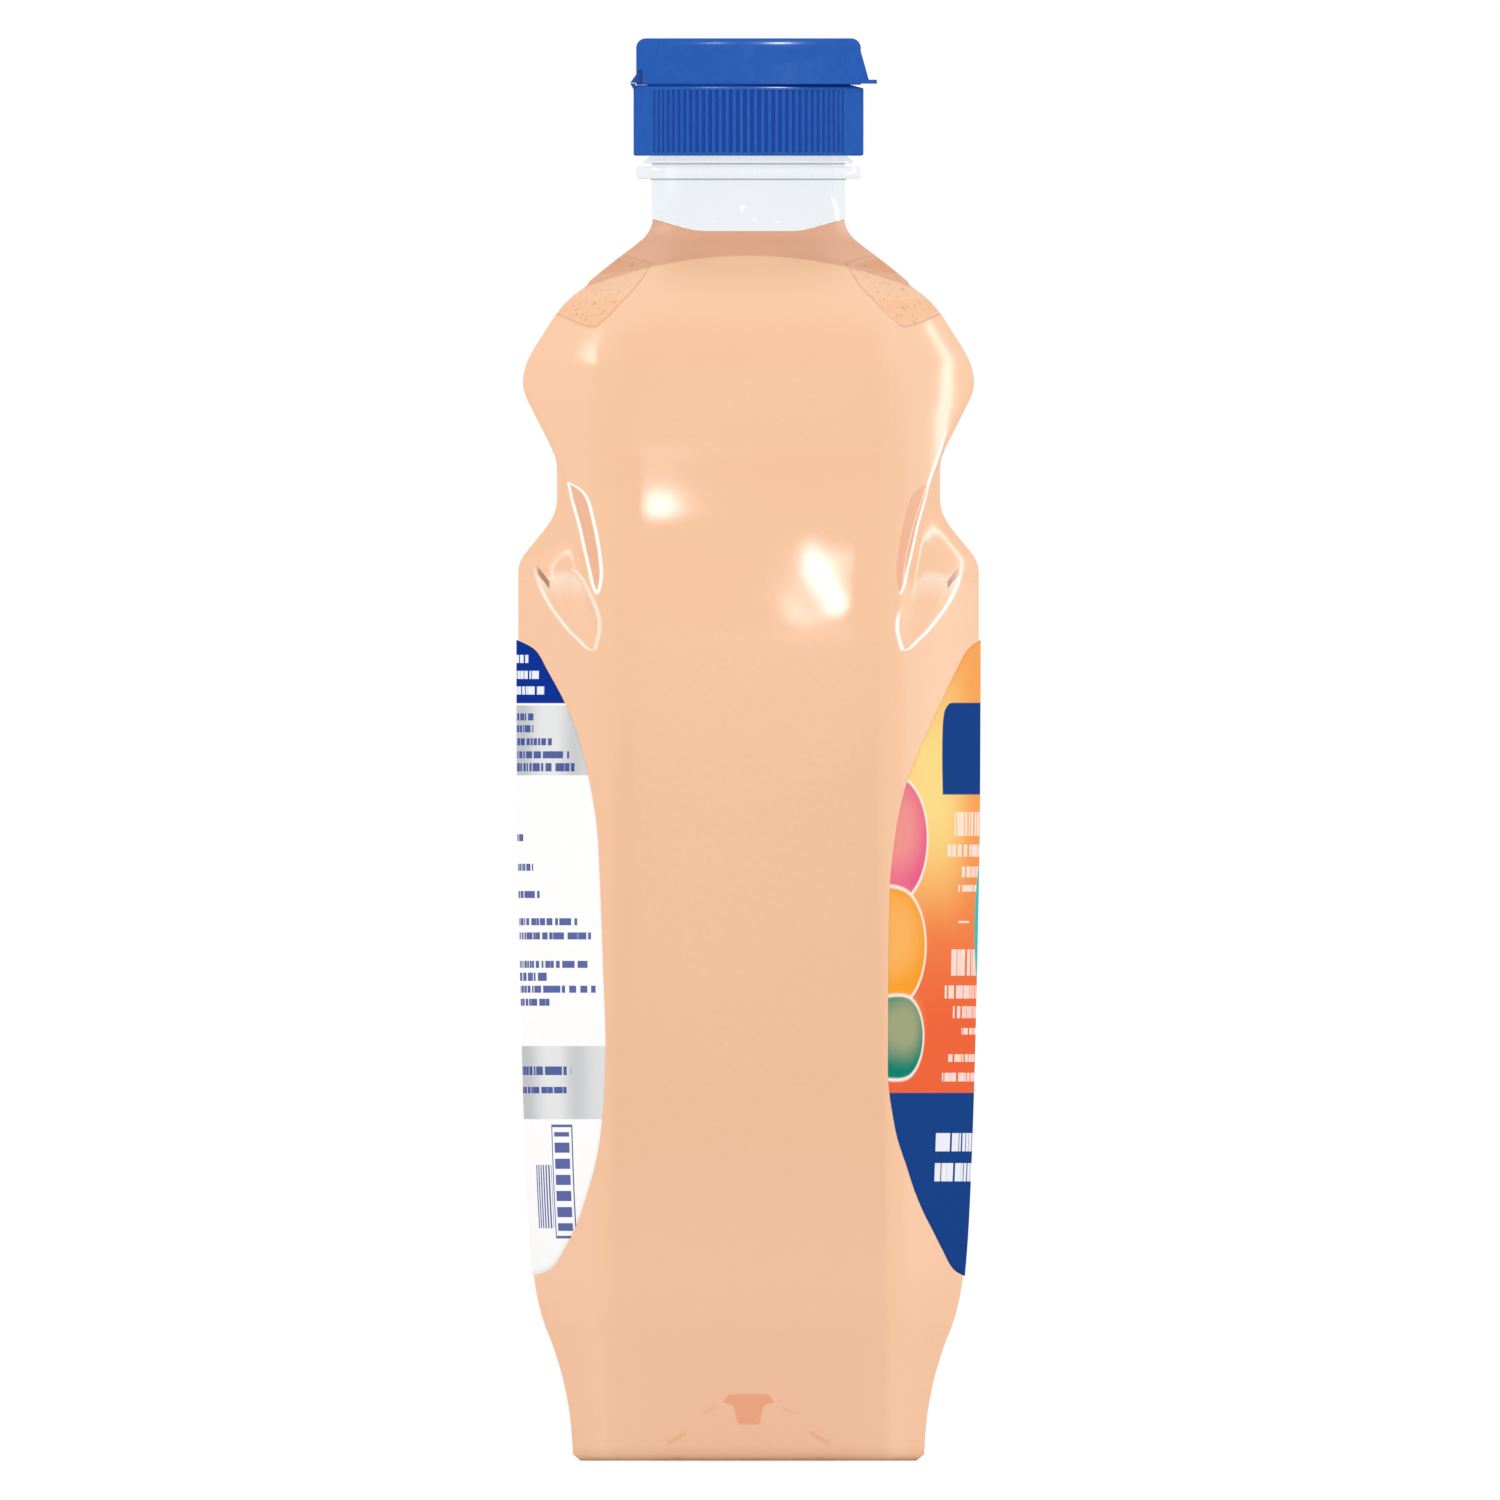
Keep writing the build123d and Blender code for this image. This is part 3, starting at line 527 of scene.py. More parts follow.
class Nodes:
    """Short calls for building a node material."""

    def __init__(self, name):
        self.material = bpy.data.materials.new(name)
        self.material.use_nodes = True
        self.tree = self.material.node_tree
        self.tree.nodes.clear()
        self.out = self.tree.nodes.new("ShaderNodeOutputMaterial")

    def add(self, kind, **values):
        node = self.tree.nodes.new("ShaderNode" + kind)
        for key, value in values.items():
            if hasattr(node, key):
                setattr(node, key, value)
            else:
                self.put(node.inputs[key.replace("_", " ")], value)
        return node

    def put(self, socket, value):
        if isinstance(value, bpy.types.NodeSocket):
            self.tree.links.new(value, socket)
        elif isinstance(value, (tuple, list)) and len(value) == 3 and socket.type == "RGBA":
            socket.default_value = (*value, 1.0)
        else:
            socket.default_value = value

    def math(self, operation, a, b=0.0, c=0.0, clamp=False):
        node = self.tree.nodes.new("ShaderNodeMath")
        node.operation, node.use_clamp = operation, clamp
        for socket, value in zip(node.inputs, (a, b, c)):
            self.put(socket, value)
        return node.outputs[0]

    def step(self, value, low, high):
        """0 below low, 1 above high, smooth between, also where low is above high."""
        node = self.tree.nodes.new("ShaderNodeMapRange")
        node.interpolation_type = "SMOOTHSTEP"
        for key, item in (("Value", value), ("From Min", low), ("From Max", high)):
            self.put(node.inputs[key], item)
        return node.outputs["Result"]

    def blend(self, share, a, b):
        node = self.tree.nodes.new("ShaderNodeMix")
        node.data_type = "RGBA"
        for key, item in ((0, share), (6, a), (7, b)):
            self.put(node.inputs[key], item)
        return node.outputs[2]

    def curve(self, value, points):
        """A drawn curve through some points, level beyond its ends."""
        x, y = [np.array(row, float) for row in zip(*points)]
        node = self.tree.nodes.new("ShaderNodeFloatCurve")
        drawn = node.mapping.curves[0]
        for i, (a, b) in enumerate(zip((x - x[0]) / (x[-1] - x[0]), (y - y.min()) / (y.max() - y.min()))):
            if 0 < i < len(x) - 1:
                drawn.points.new(a, b)
            else:
                drawn.points[0 if i == 0 else len(drawn.points) - 1].location = (a, b)
        node.mapping.update()
        share = self.math("DIVIDE", self.math("SUBTRACT", value, x[0]), x[-1] - x[0], clamp=True)
        self.put(node.inputs["Value"], share)
        return self.slide(node.outputs[0], y.min(), y.max())

    def times(self, first, *others):
        """Some values multiplied."""
        for value in others:
            first = self.math("MULTIPLY", first, value)
        return first

    def most(self, first, *others):
        """The highest of some values."""
        for value in others:
            first = self.math("MAXIMUM", first, value)
        return first

    def least(self, a, b):
        return self.math("MINIMUM", a, b)

    def minus(self, a, b):
        return self.math("SUBTRACT", a, b)

    def size(self, value):
        """A value without its sign."""
        return self.math("ABSOLUTE", value)

    def slide(self, share, a, b):
        """A number that goes from a to b as a share goes from 0 to 1."""
        span = self.minus(b, a) if isinstance(b, bpy.types.NodeSocket) else b - a
        return self.math("MULTIPLY_ADD", share, span, a)

    def far(self, u, v):
        """How far two distances, square to each other, make together."""
        return self.math("SQRT", self.math("ADD", self.times(u, u), self.times(v, v)))

    def place(self):
        """The place on the object in millimetres: x, y, z, and the three in one."""
        scaled = self.tree.nodes.new("ShaderNodeVectorMath")
        scaled.operation = "SCALE"
        self.put(scaled.inputs[0], self.add("TexCoord").outputs["Object"])
        scaled.inputs["Scale"].default_value = 1 / MM
        split = self.add("SeparateXYZ", Vector=scaled.outputs[0])
        return (*split.outputs, scaled.outputs[0])

    def noise(self, place, scale, detail):
        return self.add("TexNoise", Scale=scale, Detail=detail, Vector=place).outputs[0]

    def mixed(self, share, a, b):
        """Two shaders in one."""
        node = self.add("MixShader", Fac=share)
        self.put(node.inputs[1], a.outputs[0])
        self.put(node.inputs[2], b.outputs[0])
        return node

    def finish(self, shader):
        self.put(self.out.inputs["Surface"], shader.outputs[0])
        return self.material


def between(n, value, low, high):
    """How far a value lies inside two limits."""
    return n.least(n.minus(value, low), n.minus(high, value))


def bands(n, value, places, soft):
    """1 where a value lies inside any of some pairs of limits."""
    return n.step(n.most(*[between(n, value, low, high) for low, high in places]), -soft, soft)


def boxes(n, u, v, places, soft):
    """1 inside any of some boxes, each given as low u, high u, low v, high v."""
    insides = [n.least(between(n, u, low_u, high_u), between(n, v, low_v, high_v))
               for low_u, high_u, low_v, high_v in places]
    return n.step(n.most(*insides), -soft, soft)


def disc(n, u, v, at_u, at_v, radius, soft=0.3):
    """1 inside a round spot."""
    return n.step(n.far(n.minus(u, at_u), n.minus(v, at_v)), radius + soft, radius - soft)


def dashes(n, u, z, places):
    """1 on short slanting dashes, each given by its middle, its slope, its half length and half width."""
    insides = []
    for at_u, at_z, slope, length, width in places:
        along = n.minus(u, at_u)
        off = n.minus(z, n.math("MULTIPLY_ADD", along, slope, at_z))
        insides.append(n.least(n.minus(length, n.size(along)), n.minus(width, n.size(off))))
    return n.step(n.most(*insides), -0.12, 0.2)


def lens_and_leaf(n, base, x, z, sides):
    """The end of a finger grip, painted: a lens-shaped pocket in painted shade, a leaf-shaped scoop under it
    with a painted highlight, painted highlights along their rim lines, and a dark slit in painted shade.
    Towards the front the pocket has its outer rim alone, which runs on up the edge of the grip."""
    def line(at, width):
        return n.step(n.size(n.minus(at, u)), width, 0.15)
    u, front = n.size(x), n.step(x, -1.0, 1.0)
    lens_in, lens_out = n.curve(z, LENS_IN), n.curve(z, LENS_OUT)
    up = n.step(z, LENS_FOOT - 0.2, LENS_FOOT + 0.2)
    within = n.times(up, n.step(z, LENS_HEAD + 0.2, LENS_HEAD - 0.2))
    pocket = n.times(n.step(between(n, u, lens_in, lens_out), 0.0, 0.25), within)
    inner = n.times(line(lens_in, 0.46), within, n.minus(1.0, front))
    above = n.step(z, n.slide(front, LENS_HEAD + 0.2, 193.0), n.slide(front, LENS_HEAD - 0.2, 188.1))
    outer = n.times(line(lens_out, n.slide(front, 0.46, 0.32)), above, up)
    lens_rim = n.most(inner, outer)
    leaf_in, leaf_out = n.curve(z, LEAF_IN), n.curve(z, LEAF_OUT)
    within = n.times(n.step(z, LEAF_FOOT - 0.2, LEAF_FOOT + 0.2), n.step(z, LEAF_HEAD + 0.3, LEAF_HEAD - 0.3))
    outer = n.times(line(leaf_out, 0.6), n.slide(front, 0.65, 1.0))
    inner = n.times(line(leaf_in, 0.55), n.slide(front, 0.5, n.step(z, 159.5, 156.5)))
    leaf_rim = n.times(n.most(outer, inner), within)
    glow = n.times(n.step(z, 159.5, 165.0), n.step(n.minus(n.curve(u, LEAF_ROOF), z), 0.0, 1.6))
    glow = n.times(n.step(between(n, u, leaf_in, leaf_out), 0.0, 0.8), glow)
    rim_highlights = n.times(n.most(lens_rim, leaf_rim), sides)
    # Painted shade in the pocket and the slit, painted highlights in the scoop and along the rim lines
    base = n.blend(n.times(pocket, sides, 0.9), base, SOAP_POCKET_SHADE)
    base = n.blend(n.times(glow, sides, 0.4), base, SOAP_GLEAM)
    base = n.blend(rim_highlights, base, SOAP_GLEAM)
    slit = dashes(n, u, z, [(38.2, 164.7, 1.3, 1.2, 0.75)])
    return n.blend(n.times(slit, sides), base, SOAP_SLIT_SHADE), rim_highlights


def shoulder_panel(n, u, z, place):
    """The stippled panels on the shoulder: 1 inside, for a faint painted shade, and 1 on their edges and
    specks: painted shade on the edges, and specks for the stipple.
    """
    inside = between(n, z, n.curve(u, PANEL_FOOT), n.curve(u, PANEL_HEAD))
    inside = n.least(inside, n.minus(u, 18.1))
    shade, edge = n.step(inside, 0.0, 0.4), n.step(n.size(inside), 0.36, 0.1)
    speck = n.step(n.noise(place, 0.85, 1.0), 0.64, 0.68)
    return shade, n.most(n.times(edge, 0.75), n.times(speck, shade))


def foot_marks(n, u, z):
    """The push-up's nub and ridges as they show low down through the soap, painted as shade: 1 on the nub,
    1 on the rest.
    """
    nub = n.least(n.minus(n.curve(z, NUB_SIDE), u), between(n, z, NUB_SIDE[0][0], NUB_SIDE[-1][0]))
    marks = dashes(n, u, z, [(7.35, 9.6, -0.56, 1.2, 0.25), (13.3, 4.4, -0.59, 1.9, 0.45),
                             (13.4, 0.75, -0.1, 0.8, 0.25), (0.0, 0.45, 0.0, 2.0, 0.15)])
    return n.step(nub, -0.1, 0.2), marks


def soap_ground(n, x, u, z, place):
    """The soap's peach, with painted shade lower down, and painted light at the foot, high on the shoulder
    and in the corners, more in the front corners.
    """
    rise = n.math("MULTIPLY_ADD", n.step(z, 120.0, 170.0), 0.55, n.times(n.step(z, 20.0, 140.0), 0.45))
    rise = n.math("ADD", rise, n.times(n.minus(n.noise(place, 0.02, 1.0), 0.5), 0.15))
    base = n.blend(rise, SOAP_LOW_SHADE, SOAP_HIGH)
    base = n.blend(n.step(z, 70.0, 30.0), base, SOAP_FOOT_LIGHT)
    base = n.blend(n.step(z, 207.0, 221.0), base, SOAP_TOP_LIGHT)
    corner = n.step(u, n.slide(n.step(z, 20.0, 160.0), 24.8, 22.8), 26.8)
    return n.blend(n.times(corner, n.slide(n.step(x, -4.0, 4.0), 0.5, 0.9)), base, SOAP_EDGE_LIGHT)


def soap_material():
    """Peach soap, with a painted shade in the collar, and the marks that the bottle's form draws in it,
    painted as shade and highlights.
    """
    n = Nodes("peach_soap")
    x, y, z, place = n.place()
    u = n.size(x)
    base = soap_ground(n, x, u, z, place)
    # Painted shade: a darker band in the collar, above an arch that dips towards the sides
    collar_shade = n.math("MULTIPLY_ADD", n.times(u, u), 0.0064, n.minus(z, 224.4))
    base = n.blend(n.step(collar_shade, -0.15, 0.3), base, SOAP_COLLAR_SHADE)
    shade, lines = shoulder_panel(n, u, z, place)
    # Painted shade inside the panels and along their edges; the specks stand for the stipple
    base = n.blend(n.times(shade, 0.05), base, SOAP_PANEL_SHADE)
    base = n.blend(n.times(lines, 0.55), base, SOAP_PANEL_SHADE)
    sides = n.step(n.size(y), 18.0, 26.0)
    base, rim_highlights = lens_and_leaf(n, base, x, z, sides)
    nub, marks = foot_marks(n, u, z)
    # Painted shade: the push-up as it shows through the soap, on the sides only
    base = n.blend(n.times(nub, sides), base, SOAP_PUSH_UP_SHADE)
    base = n.blend(n.times(marks, sides, 0.7), base, SOAP_PUSH_UP_SHADE)
    # Painted light: the rim highlights glow a little, and the soap's top in the neck glows to lift the cap's
    # shade
    top = n.times(n.step(n.far(x, y), 17.6, 16.8), n.step(z, 228.4, 228.8))
    glow = n.math("MULTIPLY_ADD", rim_highlights, RIM_GLOW, n.times(top, TOP_GLOW))
    return n.finish(n.add("BsdfPrincipled", Base_Color=base, Roughness=0.4, IOR=SOAP_IOR,
                          Specular_IOR_Level=0.0, Emission_Color=base, Emission_Strength=glow))


def gloss_share(n):
    """How much a clear surface mirrors from outside, and nothing from inside."""
    behind = n.add("NewGeometry").outputs["Backfacing"]
    return n.times(n.least(n.add("Fresnel", IOR=WALL_IOR).outputs[0], GLOSS_LIMIT), n.minus(1.0, behind))


def shell_material():
    """The clear wall where soap lies behind it: see-through with a gloss, dull below the grips, and dull
    above them between the corners."""
    n = Nodes("clear_wall")
    x, _, z, _ = n.place()
    level = n.most(n.step(z, 157.0, 149.0), n.step(z, 186.0, 191.0))
    edge = n.step(n.size(x), 24.0, 28.0)
    dull = n.most(n.times(level, n.minus(1.0, edge)), n.times(edge, n.step(z, 166.0, 161.0)))
    rough = n.slide(edge, WALL_ROUGHNESS, EDGE_ROUGHNESS)
    rough = n.math("MULTIPLY_ADD", dull, DULL_ROUGHNESS - WALL_ROUGHNESS, rough)
    clear = n.add("BsdfTransparent", Color=WHITE)
    gloss = n.add("BsdfGlossy", Color=WHITE, Roughness=rough)
    return n.finish(n.mixed(gloss_share(n), clear, gloss))


def lining_material():
    """The inside of the wall, which the soap wets: nothing of it is seen."""
    n = Nodes("wetted_wall")
    return n.finish(n.add("BsdfTransparent", Color=WHITE))


def neck_material():
    """The clear plastic of the neck, with a little milk in it, a gloss, and painted shade along the lower
    edges of the ring and the bead.
    """
    n = Nodes("clear_neck")
    z = n.place()[2]
    # Painted shade: grey lines at the lower edges of the ring and the bead
    ledge_shade = bands(n, z, [(level - 0.25, level + 0.05) for level in (RING_BOTTOM, BEAD_BOTTOM)], 0.06)
    tint = n.blend(n.step(z, 229.0, 243.0), srgb(248, 252, 255), srgb(249, 252, 255))
    tint = n.blend(n.times(ledge_shade, 0.9), tint, srgb(206, 212, 216))
    body = n.mixed(NECK_MILK, n.add("BsdfTransparent", Color=tint), n.add("BsdfDiffuse", Color=tint))
    gloss = n.add("BsdfGlossy", Color=WHITE, Roughness=0.1)
    return n.finish(n.mixed(gloss_share(n), body, gloss))


def cap_material():
    """Blue moulded plastic, with painted shade in its grooves and just under the lid, and a fine grain."""
    n = Nodes("blue_cap")
    x, y, z, place = n.place()
    shade = n.blend(n.step(n.noise(place, 0.5, 3.0), 0.3, 0.7), srgb(27, 88, 176), srgb(32, 93, 182))
    far = n.far(x, y)
    grooved = n.times(n.step(z, 243.4, 243.9), n.step(z, 255.7, 255.2))
    # Painted shade in the skirt's grooves and just under the lid
    shade = n.blend(n.times(grooved, n.step(far, 21.38, 21.16), 0.85), shade, CAP_GROOVE_SHADE)
    shade = n.blend(n.times(n.step(z, 256.9, 256.3), n.step(far, 21.3, 21.0)), shade, CAP_GROOVE_SHADE)
    grain = n.noise(place, 6.0, 2.0)
    bump = n.add("Bump", Strength=0.05, Distance=0.0002, Height=grain).outputs[0]
    rough = n.math("MULTIPLY_ADD", grain, 0.08, 0.26)
    body = n.add("BsdfPrincipled", Base_Color=shade, Roughness=0.5, Normal=bump, Specular_IOR_Level=0.0)
    gloss = n.add("BsdfGlossy", Color=WHITE, Roughness=rough, Normal=bump)
    return n.finish(n.mixed(CAP_GLOSS, body, gloss))


def plain_material(name, low, high, rough, scale, metal=0.0):
    """A material of two close colours, with a grain."""
    n = Nodes(name)
    noise = n.noise(n.place()[3], scale, 3.0)
    bump = n.add("Bump", Strength=0.1, Distance=0.0003, Height=noise).outputs[0]
    return n.finish(n.add("BsdfPrincipled", Base_Color=n.blend(noise, low, high), Roughness=rough,
                          Metallic=metal, Normal=bump))


def text_rows(n, y, z, rows):
    """1 on the plain bars that stand for lines of print: each row has a half width, a foot and a
    top, and its bar is broken at uneven places."""
    low, high, widest = min(row[1] for row in rows) - 1.0, max(row[2] for row in rows) + 1.0, 60.0
    node = n.add("ValToRGB")
    ramp = node.color_ramp
    ramp.interpolation = "CONSTANT"
    stops = [(0.0, 0.0, 0.0)]
    for i, (half, foot, top) in enumerate(sorted(rows, key=lambda row: row[1])):
        stops += [((foot - low) / (high - low), half / widest, 0.13 + 0.27 * i % 1.0),
                  ((top - low) / (high - low), 0.0, 0.0)]
    while len(ramp.elements) < len(stops):
        ramp.elements.new(0.5)
    for element, (place, half, seed) in zip(ramp.elements, stops):
        element.position, element.color = place, (half, seed, 0.0, 1.0)
    n.put(node.inputs[0], n.math("DIVIDE", n.minus(z, low), high - low, clamp=True))
    half, seed, _ = n.add("SeparateColor", Color=node.outputs[0]).outputs
    within = n.minus(n.times(half, widest), n.size(y))
    spot = n.math("MULTIPLY_ADD", y, 0.5, n.times(seed, 90.0))
    gaps = n.add("TexNoise", noise_dimensions="1D", Scale=1.0, Detail=1.0, W=spot)
    return n.times(n.step(within, 0.0, 0.15), n.step(gaps.outputs[0], 0.40, 0.44))


def print_finish(n, colour):
    """Printed film, without a gloss of its own."""
    return n.finish(n.add("BsdfPrincipled", Base_Color=colour, Roughness=0.4, Specular_IOR_Level=0.0))


FRONT_SPOTS = [(-52.5, 116.0, 12.0, PINK), (-52.0, 96.0, 11.0, AMBER), (-49.0, 79.0, 7.6, TEAL),
               (53.0, 121.0, 11.5, AMBER), (52.0, 100.5, 11.5, PINK), (50.5, 82.0, 8.6, TEAL),
               (44.5, 73.6, 3.2, PINK)]
FRONT_PLATE = [(124.2, 34.2), (136.0, 34.0), (139.2, 33.2), (140.6, 31.8), (141.3, 29.5)]
FRONT_BARS = [(28.5, 116.4, 120.8), (32.0, 112.6, 114.8), (24.0, 108.6, 110.8), (26.0, 106.0, 107.2),
              (30.0, 90.4, 95.2), (32.5, 86.2, 88.6), (28.0, 82.4, 84.8), (22.0, 79.4, 80.6),
              (30.0, 74.4, 75.8), (33.0, 70.8, 72.4)]


def front_ground(n, y, v, z):
    """Orange to yellow, with round bubbles."""
    ground = n.blend(n.step(z, 78.0, 128.0), srgb(240, 104, 62), srgb(250, 168, 92))
    glow = n.times(n.step(n.size(n.minus(z, 126.0)), 30.0, 4.0), n.step(n.size(n.minus(v, 38.0)), 24.0, 2.0))
    ground = n.blend(n.times(glow, 0.9), ground, srgb(253, 226, 142))
    for at_y, at_z, radius, tone in FRONT_SPOTS:
        ground = n.blend(disc(n, y, z, at_y, at_z, radius + 0.6), ground, srgb(255, 244, 232))
        ground = n.blend(disc(n, y, z, at_y, at_z, radius), ground, tone)
        light = disc(n, y, z, at_y + math.copysign(1.5, -at_y), at_z + 2.0, radius * 0.7, radius * 0.4)
        ground = n.blend(n.times(light, 0.35), ground, srgb(255, 214, 150))
    return ground


def front_label_material():
    """Orange to yellow ground, round bubbles, a bare plate, a navy field low down and pale bars."""
    n = Nodes("front_label_print")
    _, y, z, _ = n.place()
    v = n.size(y)
    ground = front_ground(n, y, v, z)
    plate = n.least(n.minus(n.curve(z, FRONT_PLATE), v), between(n, z, FRONT_PLATE[0][0], FRONT_PLATE[-1][0]))
    ground = n.blend(n.step(plate, -0.15, 0.15), ground, NAVY)
    pale = n.most(text_rows(n, y, z, FRONT_BARS), boxes(n, v, z, [(17.5, 25.5, 100.3, 100.7)], 0.08))
    ground = n.blend(n.times(pale, 0.85), ground, srgb(255, 236, 224))
    ground = n.blend(disc(n, y, z, 0.0, 100.5, 11.0), ground, srgb(64, 190, 196))
    ground = n.blend(n.step(z, 68.8, 68.6), ground, NAVY)
    low = text_rows(n, y, z, [(35.0, 57.8, 61.2), (35.0, 52.2, 55.6)])
    return print_finish(n, n.blend(n.times(low, 0.95), ground, srgb(244, 247, 252)))


BACK_PALE = [(19.0, 148.7, 150.2), (26.0, 145.7, 147.2), (29.0, 142.8, 144.3)]
BACK_DARK = [(23.0, 137.8, 139.2), (23.0, 135.6, 137.0), (33.0, 133.2, 134.6), (40.0, 130.8, 132.2),
             (42.0, 128.5, 129.9), (14.0, 115.5, 116.8), (22.5, 109.9, 111.3), (26.5, 104.8, 106.2),
             (43.0, 99.8, 101.2), (47.5, 97.1, 98.5), (46.5, 91.8, 93.2), (30.0, 89.5, 90.9),
             (48.5, 87.3, 88.6), (31.0, 84.8, 86.1)]
BACK_LOW = [(40.0, 72.0, 73.6), (38.0, 68.6, 69.8)]


def back_fields(n, v, z):
    """1 on the plain stripes, the cells and the thin frame low on the back label."""
    stripes = n.times(boxes(n, v, z, [(18.4, 29.6, 43.5, 55.3)], 0.06),
                      n.step(n.math("PINGPONG", v, 0.85), 0.3, 0.5))
    cells = n.times(boxes(n, v, z, [(31.6, 38.4, 43.0, 61.4)], 0.06),
                    n.step(n.math("PINGPONG", z, 1.5), 0.5, 0.6))
    frame_line = n.minus(boxes(n, v, z, [(30.2, 39.8, 41.6, 62.8)], 0.06),
                         boxes(n, v, z, [(30.7, 39.3, 42.1, 62.3)], 0.06))
    return n.most(stripes, cells, frame_line)


def back_label_material():
    """White ground, a navy field on top, two silver bands and plain navy bars."""
    n = Nodes("back_label_print")
    _, y, z, _ = n.place()
    v = n.size(y)
    ground = n.blend(n.step(z, 34.0, 60.0), srgb(252, 252, 253), srgb(255, 255, 255))
    sheen = n.blend(n.step(v, 14.0, 30.0), srgb(196, 199, 202), srgb(232, 233, 234))
    sheen = n.blend(n.step(v, 34.0, 42.0), sheen, srgb(204, 206, 208))
    sheen = n.blend(n.step(v, 42.0, 50.0), sheen, srgb(226, 227, 228))
    ground = n.blend(bands(n, z, [(63.8, 77.4), (127.8, 140.8)], 0.06), ground, sheen)
    ground = n.blend(n.step(z, 141.1, 141.3), ground, srgb(18, 52, 148))
    ground = n.blend(text_rows(n, y, z, BACK_PALE), ground, srgb(240, 244, 252))
    dark = n.most(text_rows(n, y, z, BACK_DARK), text_rows(n, y, z, BACK_LOW), back_fields(n, v, z))
    return print_finish(n, n.blend(n.times(dark, 0.9), ground, srgb(36, 66, 152)))


def wall_side(bottle, face):
    """1 for the neck's outside, 2 for the inside that the soap wets, 0 for the rest of the wall."""
    middle = sum((bottle.data.vertices[v].co for v in face.vertices), Vector()) / len(face.vertices)
    bare, outside = middle.z > float(soap_level(middle.x / MM)) * MM, face.index < bottle["outer_faces"]
    return int(bare) if outside else 2 * int(not bare)


def assign(piece, *materials):
    piece.data.materials.clear()
    for material in materials:
        piece.data.materials.append(material)


def dress():
    bottle = build_bottle()
    assign(bottle, shell_material(), neck_material(), lining_material())
    bottle.data.polygons.foreach_set("material_index", [wall_side(bottle, p) for p in bottle.data.polygons])
    assign(build_soap(), soap_material())
    assign(build_label("front_label_film", "front_label", 1), front_label_material())
    assign(build_label("back_label_film", "back_label", -1), back_label_material())
    cap = cap_material()
    for node in ("cap_body", "flip_lid"):
        assign(NODES[node], cap)
    assign(NODES["foil_seal"],
           plain_material("foil", srgb(200, 203, 206), srgb(226, 228, 230), 0.3, 0.8, 1.0))
    assign(NODES["liner_washer"],
           plain_material("foam", srgb(232, 232, 228), srgb(246, 246, 244), 0.8, 3.0))


# Stage, light and camera, with lengths in metres
FLOOR_REACH, FLOOR_LEVEL, LAMP_DISTANCE, CAMERA_DISTANCE, WORLD_LIGHT = 3.0, -0.0001, 1.2, 1.5, 1.05

# The photograph: its pixels across, millimetres a pixel, and the pixels of the bottle's axis and foot
PHOTO_PIXELS, PIXEL, AXIS_PIXEL, FOOT_PIXEL = 1500, 0.1861, 748.5, 1462


def build_stage():
    mesh = bpy.data.meshes.new("floor")
    corners = [(-1, -1), (1, -1), (1, 1), (-1, 1)]
    mesh.from_pydata([(x * FLOOR_REACH, y * FLOOR_REACH, FLOOR_LEVEL) for x, y in corners], [],
                     [(0, 1, 2, 3)])
    floor = bpy.data.objects.new("floor", mesh)
    bpy.context.scene.collection.objects.link(floor)
    n = Nodes("floor_white")
    shader = n.add("BsdfPrincipled", Base_Color=(0.9, 0.9, 0.9), Roughness=0.9)
    floor.data.materials.append(n.finish(shader))


def build_world():
    """White all round: plain to the eye and through clear pieces, and a little brighter as light."""
    world = bpy.data.worlds.new("studio")
    bpy.context.scene.world = world
    world.use_nodes = True
    nodes, link = world.node_tree.nodes, world.node_tree.links.new
    nodes.clear()
    out, path, light, seen, mixed, either = [nodes.new("ShaderNode" + kind) for kind in (
        "OutputWorld", "LightPath", "Background", "Background", "MixShader", "Math")]
    either.operation = "MAXIMUM"
    light.inputs["Strength"].default_value = WORLD_LIGHT
    link(path.outputs["Is Camera Ray"], either.inputs[0])
    link(path.outputs["Is Transmission Ray"], either.inputs[1])
    for socket, source in zip(mixed.inputs, (either, light, seen)):
        link(source.outputs[0], socket)
    for background in (light, seen):
        background.inputs["Color"].default_value = (1, 1, 1, 1)
    link(mixed.outputs[0], out.inputs["Surface"])


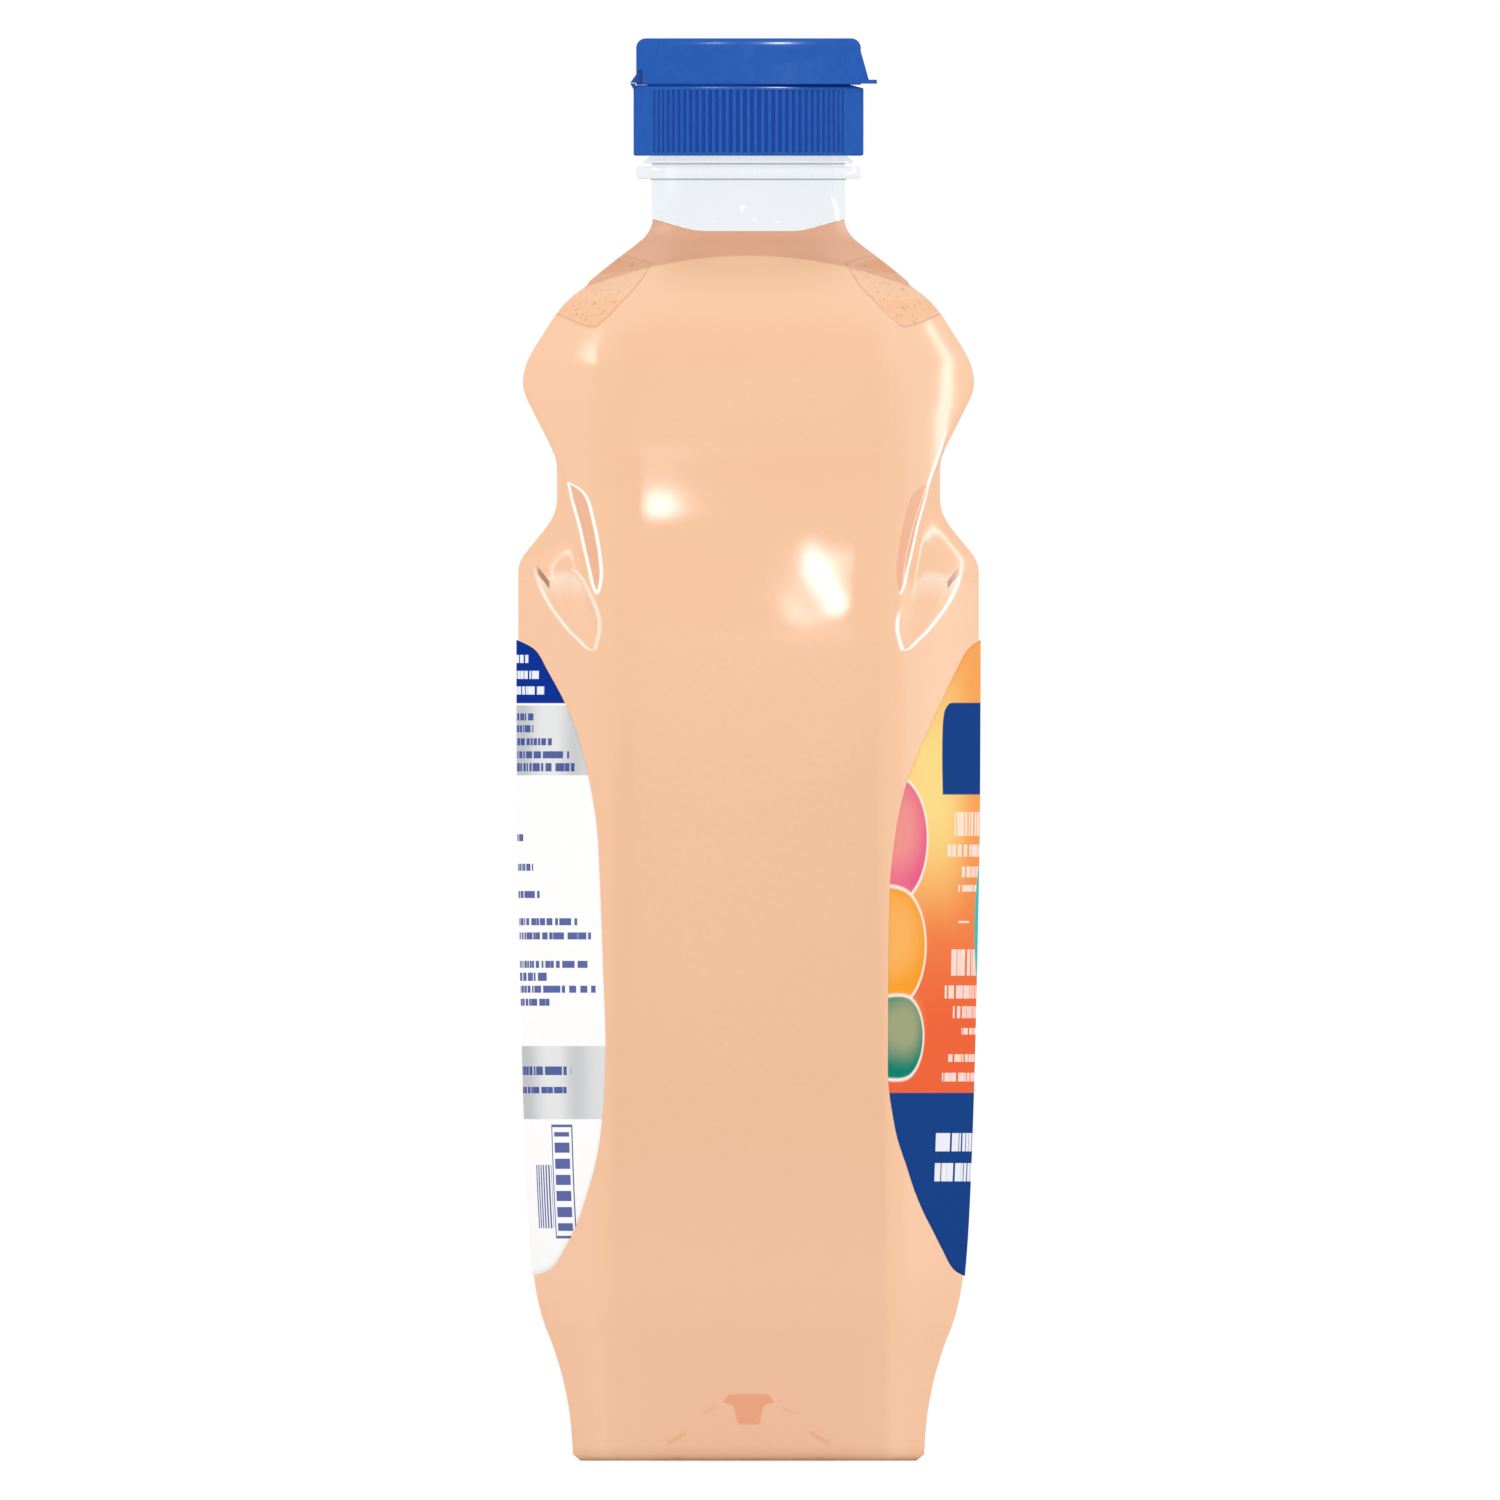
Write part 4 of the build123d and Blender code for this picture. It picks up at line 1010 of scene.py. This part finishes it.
def lamp(name, aim, way, width, height, glow, roll=0.0, lit=()):
    """A soft oval lamp that looks at a place on the object, seen only as gloss: on all pieces, or on the
    few that are given."""
    data = bpy.data.lights.new(name, "AREA")
    data.shape, data.size, data.size_y = "ELLIPSE", width, height
    data.energy = glow * math.pi * width * height * math.pi / 4
    obj = bpy.data.objects.new(name, data)
    aim = Vector(aim) * MM
    obj.location = aim + Vector(way).normalized() * LAMP_DISTANCE
    turn = (aim - obj.location).to_track_quat("-Z", "Y").to_euler()
    turn.rotate_axis("Z", math.radians(roll))
    obj.rotation_euler = turn
    obj.visible_camera = obj.visible_diffuse = obj.visible_transmission = False
    bpy.context.scene.collection.objects.link(obj)
    if lit:
        obj.light_linking.receiver_collection = bpy.data.collections.new(name + "_lit")
        for piece in lit:
            obj.light_linking.receiver_collection.objects.link(piece)


def build_lamps():
    """Small soft boxes: their gloss on the wall, the neck and the lid makes the bright patches."""
    cap, shell = [NODES["cap_body"], NODES["flip_lid"]], [bpy.data.objects["bottle_shell"]]
    lamp("side_left", (-16.5, -48, 178), (-0.118, -1, 0.01), 0.045, 0.14, 20.0)
    lamp("side_right", (14.2, -49, 164), (0.103, -1, 0.235), 0.05, 0.075, 28.0)
    lamp("shoulder_right", (33, -34, 203), (0.6365, 0.7586, 0.139), 1.1, 0.14, 6.5, 40.0, lit=shell)
    lamp("shoulder_left", (-28, -40, 206), (-0.75, 0.52, 0.41), 0.5, 0.12, 5.0, -20.0, lit=shell)
    lamp("neck_right", (5, -17, 231), (0.55, -0.8, 0.3), 0.12, 0.1, 9.0)
    lamp("neck_left", (-6, -17, 231), (-0.67, -0.7, 0.3), 0.12, 0.1, 6.0)
    lamp("lid_right", (6, -20, 263), (0.4, -0.38, 0.83), 0.4, 0.2, 260.0, lit=cap)
    lamp("lid_left", (-7, -20, 263), (-0.45, -0.36, 0.83), 0.3, 0.16, 110.0, lit=cap)


def build_camera():
    """A camera without perspective, where the photograph shows the bottle from."""
    data = bpy.data.cameras.new("camera")
    data.type = "ORTHO"
    data.ortho_scale = PHOTO_PIXELS * PIXEL * MM
    camera = bpy.data.objects.new("camera", data)
    camera.location = ((PHOTO_PIXELS / 2 - AXIS_PIXEL) * PIXEL * MM, -CAMERA_DISTANCE,
                       (FOOT_PIXEL - PHOTO_PIXELS / 2) * PIXEL * MM)
    camera.rotation_euler = (math.radians(90), 0, 0)
    bpy.context.scene.collection.objects.link(camera)
    bpy.context.scene.camera = camera


dress()
build_stage()
build_world()
build_lamps()
build_camera()
bpy.context.scene.view_settings.view_transform = "Standard"
